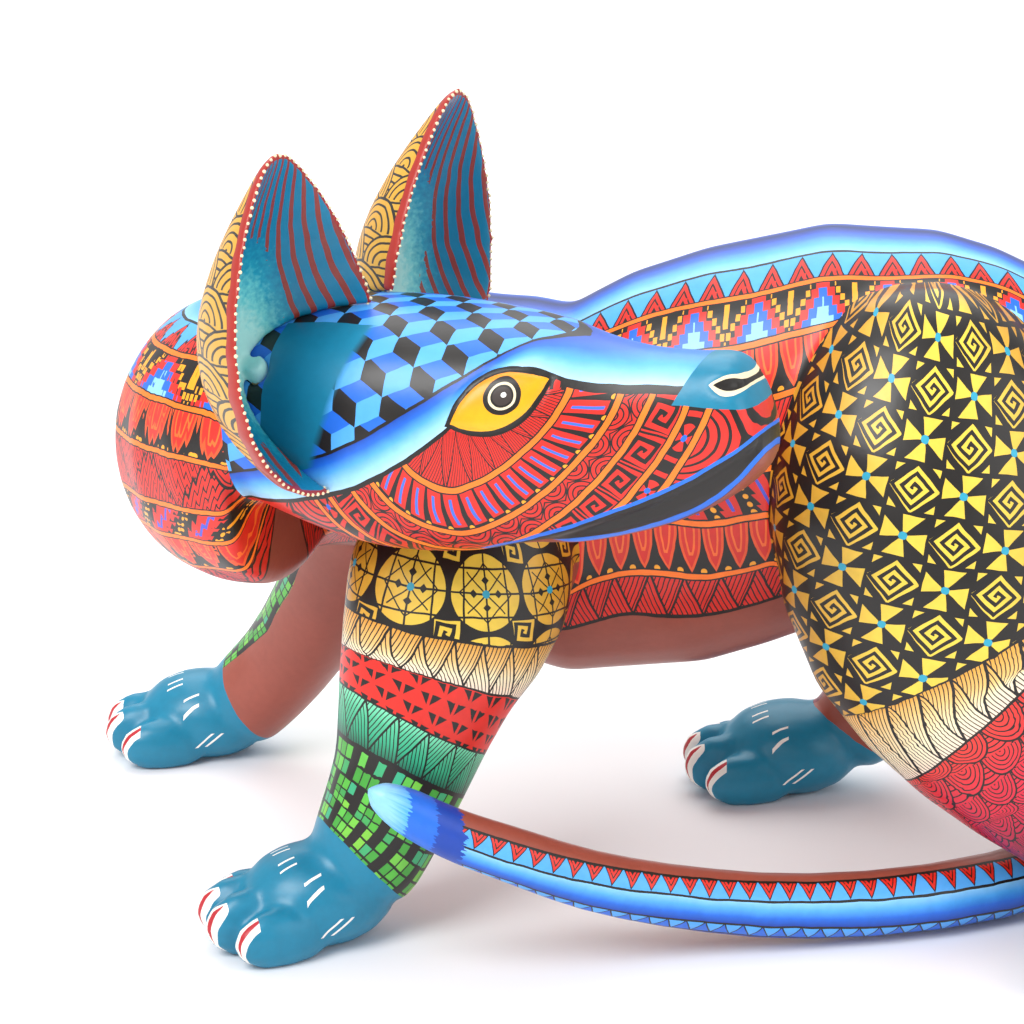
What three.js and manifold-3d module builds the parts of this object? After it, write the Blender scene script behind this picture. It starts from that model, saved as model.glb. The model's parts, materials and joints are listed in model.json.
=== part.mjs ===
// A carved and painted wooden animal, standing with its head turned back over its left flank.
// Ten carved blocks and twelve hidden dowels; the ears and the tail are loose push-in pieces.
// Millimetres, +Z up. The chest is at -X, the rump at +X, and the animal's left side faces -Y.
import * as THREE from "three";
import { mergeVertices } from "three/addons/utils/BufferGeometryUtils.js";
import Module from "manifold-3d";

const wasm = await Module();
wasm.setup();

// Driving dimensions
const GLUE_GAP = 0.3; // between glued faces, and between an ear or the tail and the block it plugs into
const HEAD_CLEARANCE = 1.5; // between the jaw and the shoulder below it
const DOWEL_RADIUS = 3;
const DOWEL_LENGTH = 22;
const HOLE_END_GAP = 0.5; // left beyond each end of a dowel for glue
const EAR_TENON = { radius: 3.4, length: 13, outside: 2 };
const TAIL_TENON = { radius: 5, length: 20, outside: 5 };
const BORE_END_GAP = 1; // left beyond the end of a tenon
const BORE_BEYOND = 4; // how far a bore's cutter reaches out past its tenon's shoulder
const NECK_JOINT_X = -40; // the flat joint between torso and neck
const HEAD_JOINT = -24; // the flat joint between neck and head, along the head's own axis
const LEFT_SEAT_Y = -6; // flat faces on the torso that the legs are glued to
const RIGHT_FORE_SEAT_Y = 50;
const RIGHT_HIND_SEAT_Y = 42;
const HEAD_AXIS = new THREE.Vector3(-48, -47, 0); // vertical line through the back of the skull
const HEAD_TURN = THREE.MathUtils.degToRad(-24.3); // the muzzle points back along the body and outwards
const FOOTPRINT_CENTRE = new THREE.Vector3(41.7, 8.9, 0); // middle of the whole figure, seen from above

const Z = new THREE.Vector3(0, 0, 1);
const SIDEWAYS = new THREE.Vector3(0, -1, 0); // a leg's sections are level, so they need another way up
const headFrame = new THREE.Matrix4().makeRotationZ(HEAD_TURN).setPosition(HEAD_AXIS);

// Each row is one section of a block: x, y, z of its centre, half width, half height.
const TORSO = [
  [-62, 38, 141, 34, 40], [-38, 37, 138, 40, 46], [-6, 33, 127, 45, 55], [28, 28, 119, 47, 59],
  [62, 22, 132, 46, 62.5], [102, 17, 146, 46, 60.5], [134, 15, 143.5, 46, 58.5], [166, 15, 136, 42, 49],
  [194, 16, 128, 31, 34], [208, 16, 124, 20, 20],
];
const NECK = [
  [-18, 37, 138, 34, 42], [-40, 38, 141, 36, 43], [-62, 31, 144, 37, 43], [-79, 13, 145, 38, 43],
  [-83, -7, 146, 38, 43], [-74, -28, 150, 37, 42], [-56, -41, 156, 36, 40], [-30, -51, 162, 34, 38],
];
// The head's rows lie along its own axis, from the back of the skull to the nose.
const HEAD = [
  [-36, 0, 166, 24, 22], [-20, 0, 166, 33, 28], [0, 0, 166, 37, 33], [20, 0, 165, 38, 35.5],
  [40, 0, 165.5, 36, 35], [58, 0, 167, 31.5, 32.5], [73, 0, 166.5, 25.5, 30.5], [87, 0, 167.5, 20.5, 27.5],
  [100, 0, 170, 17.5, 24.5], [113, 0, 174.5, 15.5, 21], [123, 0, 179.5, 14, 17], [129, 0, 182, 12.5, 14],
];
const TAIL = [
  [188, 18, 138, 13, 13], [202, 18, 124, 13, 13], [212, 17, 102, 12.6, 12.6], [214, 14, 72, 12.2, 12.2],
  [208, 6, 42, 11.6, 11.6], [193, -7, 21, 11, 11], [168, -27, 12.2, 10.6, 10.6],
  [128, -46, 11, 10.2, 10.2], [88, -55, 12, 10, 10], [55, -62, 17.5, 9.7, 9.7], [25, -71, 27, 9.2, 9.2],
  [0, -79, 39, 8.4, 8.4], [-20, -85, 49.5, 7.6, 7.6], [-42, -89, 64, 6.2, 6.2],
];
const LEFT_FORELEG = [
  [-3, 0, 142, 24, 17], [-10, -14, 124, 31, 22], [-17, -28, 101, 34, 25], [-26, -36, 77, 27, 22.5],
  [-33, -41, 52, 21, 19.5], [-42, -45, 30, 18.5, 17.5], [-50, -47, 12, 16, 14],
];
const RIGHT_FORELEG = [
  [-33, 48, 146, 24, 18], [-42, 62, 118, 26, 23], [-51, 76, 90, 21, 20], [-63, 88, 62, 18, 18],
  [-77, 98, 38, 16.5, 16.5], [-90, 104, 22, 16, 16], [-100, 107, 11, 14, 13],
];
const LEFT_HIND_LEG = [
  [140, -4, 190, 22, 16], [131, -18, 168, 40, 27], [125, -29, 136, 47, 33], [127, -36, 104, 44, 32],
  [138, -42, 78, 36, 27], [155, -48, 56, 27, 22], [173, -54, 39, 20.5, 18.5], [185, -61, 24, 17, 16.5],
  [187, -70, 12, 15, 14],
];
const RIGHT_HIND_LEG = [
  [146, 34, 176, 24, 18], [138, 48, 152, 36, 27], [132, 58, 120, 38, 28], [131, 66, 88, 30, 23],
  [132, 71, 62, 21, 18.5], [128, 74, 40, 17.5, 16], [119, 75, 24, 16, 15], [109, 74, 12, 14, 13],
];
// A paw: its ankle on the ground plane, the way it points, and its scale against the left fore paw.
const PAWS = {
  left_foreleg: { ankle: [-55, -48], points: 197, scale: 1 },
  right_foreleg: { ankle: [-103, 108], points: 183, scale: 0.97 },
  left_hind_leg: { ankle: [184, -72], points: 246, scale: 0.97 },
  right_hind_leg: { ankle: [99, 74], points: 180, scale: 1 },
};
// An ear: its side of the head, its half width and the depth of its hollow, how far the hollow turns
// outwards in degrees, how far the tip leans, its sideways roll in degrees, its shift up and ahead.
const EARS = {
  right_ear: { side: -1, half: 32, hollow: 30, turn: 9, lean: -6, roll: 4, lift: 0, ahead: 5 },
  left_ear: { side: 1, half: 28, hollow: 24, turn: -6, lean: 2, roll: 6, lift: 6, ahead: 12 },
};
const EAR_HALF_LENGTH = 49;
const EAR_WALL = 3.2;
const EAR_CENTRE = new THREE.Vector3(2, 38, 200);

const paint = {
  red: new THREE.MeshStandardMaterial({ color: 0xdd2a1f, roughness: 0.45, metalness: 0 }),
  blue: new THREE.MeshStandardMaterial({ color: 0x1565d8, roughness: 0.45, metalness: 0 }),
  gold: new THREE.MeshStandardMaterial({ color: 0xe8c84a, roughness: 0.45, metalness: 0 }),
  teal: new THREE.MeshStandardMaterial({ color: 0x0e86a8, roughness: 0.5, metalness: 0 }),
};
const bareWood = new THREE.MeshStandardMaterial({ color: 0xd9b98a, roughness: 0.75, metalness: 0 });

// A closed geometry as a solid that can be joined and cut.
function solid(geometry) {
  const bare = geometry.clone();
  bare.deleteAttribute("normal");
  bare.deleteAttribute("uv");
  const merged = mergeVertices(bare, 1e-4);
  const vertProperties = new Float32Array(merged.attributes.position.array);
  const triVerts = new Uint32Array(merged.index.array);
  return new wasm.Manifold(new wasm.Mesh({ numProp: 3, vertProperties, triVerts }));
}

function meshOf(name, block, material) {
  const made = block.getMesh();
  const geometry = new THREE.BufferGeometry();
  geometry.setAttribute("position", new THREE.BufferAttribute(made.vertProperties, 3));
  geometry.setIndex(new THREE.BufferAttribute(made.triVerts, 1));
  geometry.computeVertexNormals();
  const mesh = new THREE.Mesh(geometry, material);
  mesh.name = name;
  return mesh;
}

// How full a section is near an end: 0 at the tip, rising like a quarter circle to 1.
function endRounding(along, cap) {
  const fromEnd = Math.min(along, 1 - along, cap) / cap;
  return Math.sqrt(Math.max(0, 1 - (1 - fromEnd) ** 2));
}

// A sphere stretched along a smooth line through the rows, with a rounded-oval section at each.
function limb(rows, { around = 20, along = 16, grow = 0, square = 2, cap = 0.1, up = Z } = {}) {
  const curve = (pick) => new THREE.CatmullRomCurve3(rows.map(pick), false, "catmullrom");
  const centres = curve((r) => new THREE.Vector3(r[0], r[1], r[2]));
  const sizes = curve((r) => new THREE.Vector3(r[3] + grow, r[4] + grow, 0));
  const shape = new THREE.SphereGeometry(1, around, along);
  const { position, uv } = shape.attributes;
  const oval = (value) => Math.sign(value) * Math.abs(value) ** (2 / square);
  for (let i = 0; i < position.count; i++) {
    const row = 1 - uv.getY(i);
    const station = row - (0.5 * Math.sin(2 * Math.PI * row)) / (2 * Math.PI);
    const turn = -2 * Math.PI * uv.getX(i);
    const forward = centres.getTangent(station);
    const side = new THREE.Vector3().crossVectors(up, forward).normalize();
    const top = new THREE.Vector3().crossVectors(forward, side);
    const size = sizes.getPoint(station).multiplyScalar(endRounding(station, cap));
    const point = centres.getPoint(station);
    point.addScaledVector(side, size.x * oval(Math.cos(turn)));
    point.addScaledVector(top, size.y * oval(Math.sin(turn)));
    position.setXYZ(i, point.x, point.y, point.z);
  }
  return shape;
}

function ball(centre, half, around, along) {
  return new THREE.SphereGeometry(1, around, along).scale(...half).translate(...centre);
}

function box(low, high) {
  const size = high.map((value, i) => value - low[i]);
  const middle = high.map((value, i) => (value + low[i]) / 2);
  return new THREE.BoxGeometry(...size).translate(...middle);
}

// Palm and four toes, pointing along the paw's own +X, flattened on the ground.
function pawSolid({ ankle, points, scale }) {
  const place = new THREE.Matrix4()
    .makeRotationZ(THREE.MathUtils.degToRad(points))
    .setPosition(ankle[0], ankle[1], 0)
    .scale(new THREE.Vector3(scale, scale, scale));
  let paw = solid(ball([4, 0, 14], [24, 19, 16], 16, 10).applyMatrix4(place));
  for (const [across, reach, height] of [[-15.5, 18, 8.5], [-5.3, 24, 10], [5.3, 24, 10], [15.5, 18, 8.5]]) {
    const toe = ball([0, 0, 0], [17, 6.3, height + 1], 12, 8);
    toe.rotateZ(across / 70).translate(reach, across, height - 0.5);
    paw = paw.add(solid(toe.applyMatrix4(place)));
  }
  return paw;
}

// A cylinder from one point towards another, as a pin or, with a margin, as its hole.
function pin(centre, axis, radius, length) {
  const rod = new THREE.CylinderGeometry(radius, radius, length, 12);
  const turn = new THREE.Quaternion().setFromUnitVectors(new THREE.Vector3(0, 1, 0), axis);
  return rod.applyQuaternion(turn).translate(centre.x, centre.y, centre.z);
}

// The ear is a leaf-shaped bowl: a sphere whose front half is pushed in to line its back half.
function earSolid({ side, half, hollow, turn, lean, roll, lift, ahead }) {
  const leaf = new THREE.SphereGeometry(1, 24, 16).rotateX(Math.PI / 2);
  const { position } = leaf.attributes;
  for (let i = 0; i < position.count; i++) {
    const across = position.getX(i);
    const along = position.getY(i);
    const depth = position.getZ(i);
    const inside = Math.max(0, 1 - across ** 2 - along ** 2);
    const width = half * (1 - 0.3 * along - 0.12 * along ** 2);
    const wall = Math.sign(depth) * Math.abs(depth) ** 0.5 * EAR_WALL * (1.15 - 0.35 * along);
    const bowl = hollow * inside * (1 - 0.35 * along);
    position.setXYZ(i, across * width, along * EAR_HALF_LENGTH, wall - bowl);
  }
  // The leaf stands up with its hollow facing the head's forward axis, then turns outwards.
  const stand = new THREE.Matrix4().makeBasis(
    new THREE.Vector3(0, 1, 0), new THREE.Vector3(0, 0, 1), new THREE.Vector3(1, 0, 0));
  leaf.applyMatrix4(stand);
  leaf.rotateX(-side * THREE.MathUtils.degToRad(roll));
  leaf.rotateY(Math.atan2(lean, EAR_HALF_LENGTH));
  leaf.rotateZ(side * THREE.MathUtils.degToRad(turn));
  leaf.translate(EAR_CENTRE.x + ahead, side * EAR_CENTRE.y, EAR_CENTRE.z + lift);
  return solid(leaf.applyMatrix4(headFrame));
}

// A tenon, or the cutter for its bore, round the line along which the piece pulls off.
function tenon({ radius, length, outside }, mouth, axis, isBore) {
  const [gap, deeper, further] = isBore ? [GLUE_GAP, BORE_END_GAP, BORE_BEYOND] : [0, 0, 0];
  const whole = length + deeper + further;
  const centre = mouth.clone().addScaledVector(axis, outside + further - whole / 2);
  return pin(centre, axis, radius + gap, whole);
}

function earTenon({ side }, isBore = false) {
  const axis = new THREE.Vector3(-0.12, side * 0.52, 0.85).normalize();
  const mouth = new THREE.Vector3(-13, side * 30.5, 184);
  return solid(tenon(EAR_TENON, mouth, axis, isBore).applyMatrix4(headFrame));
}

function tailTenon(isBore = false) {
  const axis = new THREE.Vector3(0.98, 0, 0.2).normalize();
  const mouth = new THREE.Vector3(203, 17, 124);
  return solid(tenon(TAIL_TENON, mouth, axis, isBore));
}

const shapes = {
  torso: (grow = 0) => solid(limb(TORSO, { around: 28, along: 24, grow, square: 2.15 })),
  neck: (grow = 0) => solid(limb(NECK, { around: 26, along: 18, grow, cap: 0.06 })),
  head: (grow = 0) =>
    solid(limb(HEAD, { around: 28, along: 26, grow, square: 2.45, cap: 0.06 }).applyMatrix4(headFrame)),
  tail: (grow = 0) => solid(limb(TAIL, { around: 12, along: 40, grow, cap: 0.05 })),
  left_foreleg: (grow = 0) => solid(limb(LEFT_FORELEG, { grow, up: SIDEWAYS })),
  right_foreleg: (grow = 0) => solid(limb(RIGHT_FORELEG, { grow, up: SIDEWAYS })),
  left_hind_leg: (grow = 0) =>
    solid(limb(LEFT_HIND_LEG, { around: 22, along: 20, grow, up: SIDEWAYS })),
  right_hind_leg: (grow = 0) =>
    solid(limb(RIGHT_HIND_LEG, { around: 20, along: 18, grow, up: SIDEWAYS })),
};

// Everything at or below the ground is cut off, so each paw stands on a flat sole.
const ground = solid(box([-400, -400, -60], [400, 400, 0]));

// The half-space on one side of a glued joint, as a block; half the glue gap is left on each side.
const FAR = 400;
const half = GLUE_GAP / 2;
const frontOfTorso = solid(box([-FAR, -8, 0], [NECK_JOINT_X + half, FAR, FAR]));
const behindNeck = solid(box([NECK_JOINT_X - half, -8, 0], [FAR, FAR, FAR]));
const headSide = (face) => solid(box([face, -80, 0], [FAR, 40, FAR]).applyMatrix4(headFrame));
const behindHead = solid(box([-FAR, -FAR, 0], [HEAD_JOINT + half, FAR, FAR]).applyMatrix4(headFrame));
const leftOf = (y) => solid(box([-FAR, -FAR, -FAR], [FAR, y, FAR]));
const rightOf = (y) => solid(box([-FAR, y, -FAR], [FAR, FAR, FAR]));

// Each leg: its own block beyond its seat, and the pocket that the seat makes in the torso.
const LEG_SEATS = {
  left_foreleg: { seat: LEFT_SEAT_Y, side: -1, dowels: [[-14, 138], [2, 120]] },
  right_foreleg: { seat: RIGHT_FORE_SEAT_Y, side: 1, dowels: [[-29, 134], [-30, 114]] },
  left_hind_leg: { seat: LEFT_SEAT_Y, side: -1, dowels: [[112, 160], [146, 128]] },
  right_hind_leg: { seat: RIGHT_HIND_SEAT_Y, side: 1, dowels: [[124, 150], [150, 126]] },
};
const beyond = ({ seat, side }, gap) => (side < 0 ? leftOf(seat - gap) : rightOf(seat + gap));

function carvedLeg(name) {
  const block = shapes[name]().intersect(beyond(LEG_SEATS[name], half));
  return block.add(pawSolid(PAWS[name])).subtract(ground).subtract(shapes.head(HEAD_CLEARANCE));
}

function legPocket(name) {
  return shapes[name](GLUE_GAP).intersect(beyond(LEG_SEATS[name], -half));
}

// Dowels: the middle of each and the way it points, two for each glued joint.
const yAxis = new THREE.Vector3(0, 1, 0);
const xAxis = new THREE.Vector3(1, 0, 0);
const headForward = new THREE.Vector3(Math.cos(HEAD_TURN), Math.sin(HEAD_TURN), 0);
const dowels = [];
for (const [name, { seat, dowels: places }] of Object.entries(LEG_SEATS))
  places.forEach(([x, z], i) =>
    dowels.push({ name: `${name}_dowel_${i + 1}`, centre: new THREE.Vector3(x, seat, z), axis: yAxis }));
[125, 160].forEach((z, i) =>
  dowels.push({ name: `neck_dowel_${i + 1}`, centre: new THREE.Vector3(NECK_JOINT_X, 38, z), axis: xAxis }));
[152, 176].forEach((z, i) =>
  dowels.push({
    name: `head_dowel_${i + 1}`,
    centre: new THREE.Vector3(HEAD_JOINT, 0, z).applyMatrix4(headFrame),
    axis: headForward,
  }));

function dowelHole({ centre, axis }) {
  return solid(pin(centre, axis, DOWEL_RADIUS + GLUE_GAP, DOWEL_LENGTH + 2 * HOLE_END_GAP));
}
const dowelHoles = dowels.map(dowelHole);
const drilled = (block) => dowelHoles.reduce((left, hole) => left.subtract(hole), block);

function carvedTorso() {
  let torso = shapes.torso().subtract(frontOfTorso);
  for (const name of Object.keys(LEG_SEATS)) torso = torso.subtract(legPocket(name));
  return drilled(torso).subtract(tailTenon(true));
}

function carvedNeck() {
  const block = shapes.neck().subtract(behindNeck).subtract(headSide(HEAD_JOINT - half));
  return drilled(block.subtract(legPocket("left_foreleg")).subtract(legPocket("right_foreleg")));
}

function carvedHead() {
  let head = shapes.head().subtract(behindHead);
  for (const ear of Object.values(EARS)) head = head.subtract(earTenon(ear, true));
  return drilled(head);
}

function carvedEar(ear) {
  const blocks = [shapes.head, shapes.neck, shapes.torso];
  const leaf = blocks.reduce((left, block) => left.subtract(block(GLUE_GAP)), earSolid(ear));
  return leaf.add(earTenon(ear));
}

function carvedTail() {
  return shapes.tail().subtract(shapes.torso(GLUE_GAP)).add(tailTenon());
}

const figure = new THREE.Group();
figure.name = "alebrije";
figure.add(
  meshOf("torso", carvedTorso(), paint.red),
  meshOf("neck", carvedNeck(), paint.red),
  meshOf("head", carvedHead(), paint.blue),
  meshOf("tail", carvedTail(), paint.blue),
);
for (const [name, ear] of Object.entries(EARS)) figure.add(meshOf(name, carvedEar(ear), paint.teal));
for (const name of Object.keys(LEG_SEATS))
  figure.add(meshOf(name, drilled(carvedLeg(name)), paint.gold));
for (const { name, centre, axis } of dowels) {
  const rod = pin(new THREE.Vector3(), axis, DOWEL_RADIUS, DOWEL_LENGTH);
  const dowel = meshOf(name, solid(rod), bareWood);
  dowel.position.copy(centre);
  figure.add(dowel);
}
figure.position.copy(FOOTPRINT_CENTRE).negate();

export default figure;
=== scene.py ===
# %% [markdown]
# # A painted wooden alebrije
# The figure is carved from copal, a soft pale wood, in ten blocks that are pegged and glued. It is
# sanded until the joints disappear, sealed, and painted with a fine brush in satin acrylics.
# This script follows the same order: carve, sand, cut the blocks apart again, and paint.

# %% The fixed frame
import math
import bmesh
import bpy
import numpy as np
from mathutils import Matrix, Vector
from mathutils.bvhtree import BVHTree
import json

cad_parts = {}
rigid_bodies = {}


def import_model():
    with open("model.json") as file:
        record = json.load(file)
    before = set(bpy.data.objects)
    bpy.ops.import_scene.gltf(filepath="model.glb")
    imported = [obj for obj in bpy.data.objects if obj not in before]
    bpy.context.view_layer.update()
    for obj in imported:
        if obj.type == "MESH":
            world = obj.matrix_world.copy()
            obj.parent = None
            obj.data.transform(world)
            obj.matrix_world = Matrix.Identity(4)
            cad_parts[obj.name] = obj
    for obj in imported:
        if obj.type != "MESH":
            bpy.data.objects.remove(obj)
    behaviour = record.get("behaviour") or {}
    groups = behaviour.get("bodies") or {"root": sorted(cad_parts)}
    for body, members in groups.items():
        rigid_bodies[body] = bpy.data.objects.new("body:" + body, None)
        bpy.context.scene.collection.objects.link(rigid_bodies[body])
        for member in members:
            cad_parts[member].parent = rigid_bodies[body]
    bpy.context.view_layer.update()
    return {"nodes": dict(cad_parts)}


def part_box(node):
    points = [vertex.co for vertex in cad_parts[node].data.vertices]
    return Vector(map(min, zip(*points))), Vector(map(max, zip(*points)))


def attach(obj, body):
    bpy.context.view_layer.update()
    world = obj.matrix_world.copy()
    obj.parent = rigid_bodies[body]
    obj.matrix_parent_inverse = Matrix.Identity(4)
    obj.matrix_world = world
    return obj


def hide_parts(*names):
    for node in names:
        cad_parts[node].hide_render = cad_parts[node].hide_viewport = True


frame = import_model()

MM = 0.001
scene = bpy.context.scene
blocks = frame["nodes"]


# %% [markdown]
# ## Camera and light
# The figure is seen slightly from above with a long lens, as in a small product studio: a pale
# floor that runs out of sight, a large soft light high on the left, and a weak one on the right.

# %% Camera
LOOK_UP = 17 # degrees that the lens looks down
DISTANCE = 1000 * MM
LENS = 113.6
dowel_low, dowel_high = (Vector(corner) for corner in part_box("head_dowel_1"))
skull_peg = (dowel_low + dowel_high) / 2
aim = Vector((skull_peg.x + 70 * MM, 0, 120 * MM)) + Vector((0, -8.9 * MM, 0))
down = math.radians(LOOK_UP)
sight = Vector((0, math.cos(down), -math.sin(down)))
camera = bpy.data.objects.new("camera", bpy.data.cameras.new("camera"))
camera.location = aim - DISTANCE * sight
camera.rotation_euler = (math.radians(90) - down, 0, 0)
camera.data.lens = LENS
camera.data.clip_end = 20
scene.collection.objects.link(camera)
scene.camera = camera
print("camera aims at", [round(v * 1000) for v in aim])


# %% Floor, backdrop and lights
def lamp(name, place, target, size, power):
    """A soft square light that faces a point."""
    light = bpy.data.objects.new(name, bpy.data.lights.new(name, "AREA"))
    light.data.size = size
    light.data.energy = power
    light.location = place
    light.rotation_euler = (Vector(target) - Vector(place)).to_track_quat("-Z", "Y").to_euler()
    scene.collection.objects.link(light)


lamp("key light", (-0.9, -1.1, 1.5), (0, 0, 0.1), 1.0, 30)
lamp("fill light", (1.4, -0.9, 0.9), (0, 0, 0.1), 1.4, 9)
lamp("top light", (0.0, 0.4, 1.6), (0, 0, 0.1), 1.2, 10)
lamp("backdrop light", (0.0, 3.2, 2.4), (0, 3.6, 0), 3.5, 75)
world = bpy.data.worlds.new("studio")
world.use_nodes = True
world.node_tree.nodes["Background"].inputs["Color"].default_value = (1, 1, 1, 1)
world.node_tree.nodes["Background"].inputs["Strength"].default_value = 0.72
scene.world = world
scene.view_settings.view_transform = "Standard"
scene.view_settings.look = "None"


# %% [markdown]
# ## Carving and sanding
# Each block of the frame is a faceted solid. The seven glued blocks are fattened by a hair so that
# they overlap, fused by a voxel remesh, and sanded: every point moves towards the middle of its
# neighbours, many times over. Sanding alone would thin the legs, so what it took away from the
# broad shape is measured, smoothed and put back. Only the facets are lost.

# %% Sanding tools
GLUED = ["torso", "neck", "head", "left_foreleg", "right_foreleg", "left_hind_leg", "right_hind_leg"]


def read(items, key, width, kind=float):
    """One property of all a mesh's points, edges or faces, as rows of numbers."""
    flat = np.empty(len(items) * width, dtype=kind)
    items.foreach_get(key, flat)
    return flat.reshape(-1, width)


def points_of(mesh):
    return read(mesh.vertices, "co", 3)


def edges_of(mesh):
    return read(mesh.edges, "vertices", 2, np.int64)


def move_points(mesh, points):
    mesh.vertices.foreach_set("co", points.ravel())
    mesh.update()


def as_object(name, mesh):
    """Puts a mesh in the scene as an object."""
    made = bpy.data.objects.new(name, mesh)
    scene.collection.objects.link(made)
    return made


def relax(values, edges, passes, weight):
    """Moves each value towards the mean of its neighbours, as far as its weight lets it."""
    count = len(values)
    ends = np.concatenate([edges[:, 0], edges[:, 1]])
    others = np.concatenate([edges[:, 1], edges[:, 0]])
    degree = np.maximum(np.bincount(ends, minlength=count), 1)
    values = values.copy()
    for _ in range(passes):
        for axis in range(values.shape[1]):
            mean = np.bincount(ends, values[others, axis], minlength=count) / degree
            values[:, axis] += 0.5 * weight * (mean - values[:, axis])
    return values


def fused(name, nodes, voxel, fatten):
    """One closed mesh over copies of some blocks, with inner hollows left out."""
    joined = bmesh.new()
    for node in nodes:
        part = bmesh.new()
        part.from_mesh(blocks[node].data)
        bmesh.ops.remove_doubles(part, verts=part.verts, dist=0.02 * MM)
        part.normal_update()
        for vertex in part.verts:
            vertex.co += vertex.normal * fatten
        copy = bpy.data.meshes.new("copy")
        part.to_mesh(copy)
        joined.from_mesh(copy)
        part.free()
        bpy.data.meshes.remove(copy)
    mesh = bpy.data.meshes.new(name)
    joined.to_mesh(mesh)
    joined.free()
    work = as_object(name, mesh)
    remesh = work.modifiers.new("fuse", "REMESH")
    remesh.mode = "VOXEL"
    remesh.voxel_size = voxel
    graph = bpy.context.evaluated_depsgraph_get()
    made = bpy.data.meshes.new_from_object(work.evaluated_get(graph))
    bpy.data.objects.remove(work)
    return outer_shell(made)


def outer_shell(mesh):
    """Keeps the largest connected surface, so that peg holes inside the wood don't stay as bubbles."""
    edges = edges_of(mesh)
    label = np.arange(len(mesh.vertices))
    while True:
        lowest = label.copy()
        np.minimum.at(lowest, edges[:, 0], label[edges[:, 1]])
        np.minimum.at(lowest, edges[:, 1], label[edges[:, 0]])
        lowest = lowest[lowest]
        if np.array_equal(lowest, label):
            break
        label = lowest
    values, counts = np.unique(label, return_counts=True)
    keep = values[np.argmax(counts)]
    if len(values) > 1:
        shell = bmesh.new()
        shell.from_mesh(mesh)
        shell.verts.ensure_lookup_table()
        bmesh.ops.delete(shell, geom=[v for v in shell.verts if label[v.index] != keep], context="VERTS")
        shell.to_mesh(mesh)
        shell.free()
    return mesh


def sand(mesh, passes, weight):
    """Takes off the facets and puts back the thickness that this cost."""
    start = points_of(mesh)
    edges = edges_of(mesh)
    weight = weight(start) if callable(weight) else weight
    smooth = relax(start, edges, passes, weight)
    smooth = smooth + relax(start - smooth, edges, passes, weight)
    smooth = relax(smooth, edges, 3, 1.0)
    move_points(mesh, smooth)


# %% Fuse and sand the glued blocks
FINE_VOXEL = 1.25 * MM
BODY_VOXEL = FINE_VOXEL
BODY_PASSES = int(40 * (FINE_VOXEL / BODY_VOXEL) ** 2) + 6 # a coarser mesh needs fewer


def body_weight(points):
    """The toes are small and already smooth, so they are sanded least."""
    height = points[:, 2] / MM
    return np.clip((height - 16) / 22, 0.12, 1.0)


body_mesh = fused("carved body", GLUED, BODY_VOXEL, 0.3 * MM)
sand(body_mesh, BODY_PASSES, body_weight)
print("fused body:", len(body_mesh.vertices), "points")


# %% [markdown]
# ## The painter's measures
# Every pattern follows the wood: bands run along the body at a steady distance from the ridge of
# the back, rings go round the legs, and the cheeks have curves of their own. So each point of the
# surface gets two or three lengths in millimetres, which the paint reads as an attribute.

# %% Places on the body, taken from the frame
MUZZLE_TURN = math.radians(-24.3)
forward = Vector((math.cos(MUZZLE_TURN), math.sin(MUZZLE_TURN), 0))
skull = skull_peg + 24 * MM * forward
skull.z = 0


def head_measures(points):
    """Distance ahead of the back of the skull, distance to its left, and height, in millimetres."""
    flat = points - np.array(skull)
    ahead = flat @ np.array(forward)
    left = flat @ np.array((-forward.y, forward.x, 0))
    return np.stack([ahead, left, points[:, 2]], axis=1) / MM


def spaced(path, step):
    """Points at a steady step along a smooth path through the given points."""
    path = np.array(path, dtype=float)
    for _ in range(4):
        middle = (path[:-1] + path[1:]) / 2
        inner = 0.75 * path[1:-1] + 0.125 * (path[:-2] + path[2:])
        round_off = np.concatenate([path[:1], inner, path[-1:]])
        path = np.empty((len(round_off) + len(middle), path.shape[1]))
        path[0::2] = round_off
        path[1::2] = middle
    length = np.concatenate([[0], np.cumsum(np.linalg.norm(np.diff(path, axis=0), axis=1))])
    wanted = np.arange(0, length[-1], step)
    return np.stack([np.interp(wanted, length, path[:, i]) for i in range(path.shape[1])], axis=1)


def nearest(points, path):
    """The index of the nearest path point for each point."""
    best = np.empty(len(points), dtype=np.int64)
    for start in range(0, len(points), 20000):
        part = points[start:start + 20000]
        gap = ((part[:, None, :] - path[None, :, :]) ** 2).sum(axis=2)
        best[start:start + 20000] = np.argmin(gap, axis=1)
    return best


def along(points, path, step):
    """Where each point lies along a path, between its steps too, with the direction of the path."""
    best = nearest(points, path)
    heading = np.gradient(path, axis=0)
    heading /= np.linalg.norm(heading, axis=1)[:, None]
    offset = points - path[best]
    ahead = (offset * heading[best]).sum(axis=1)
    place = best * step + np.clip(ahead, -3 * step, 3 * step)
    return place, offset - ahead[:, None] * heading[best], heading[best]


# The line down the middle of the torso and round the neck, seen from above, from rump to skull.
SHIFT = np.array([skull_peg.x / MM + 70.0, -8.9])
BACKBONE = [(215, 16), (196, 16), (168, 15), (136, 15), (102, 17), (62, 22), (28, 28), (-6, 33),
            (-38, 38), (-62, 31), (-78, 13), (-82, -7), (-74, -28), (-56, -41), (-30, -51), (0, -64)]
BODY_STEP = 2.0
backbone = spaced(np.array(BACKBONE) + SHIFT, BODY_STEP)


def soften(row):
    """Evens out a row of numbers with its neighbours, 12 steps either way."""
    return np.convolve(np.pad(row, 12, mode="edge"), np.hanning(27)[1:-1] / 13, mode="valid")


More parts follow.
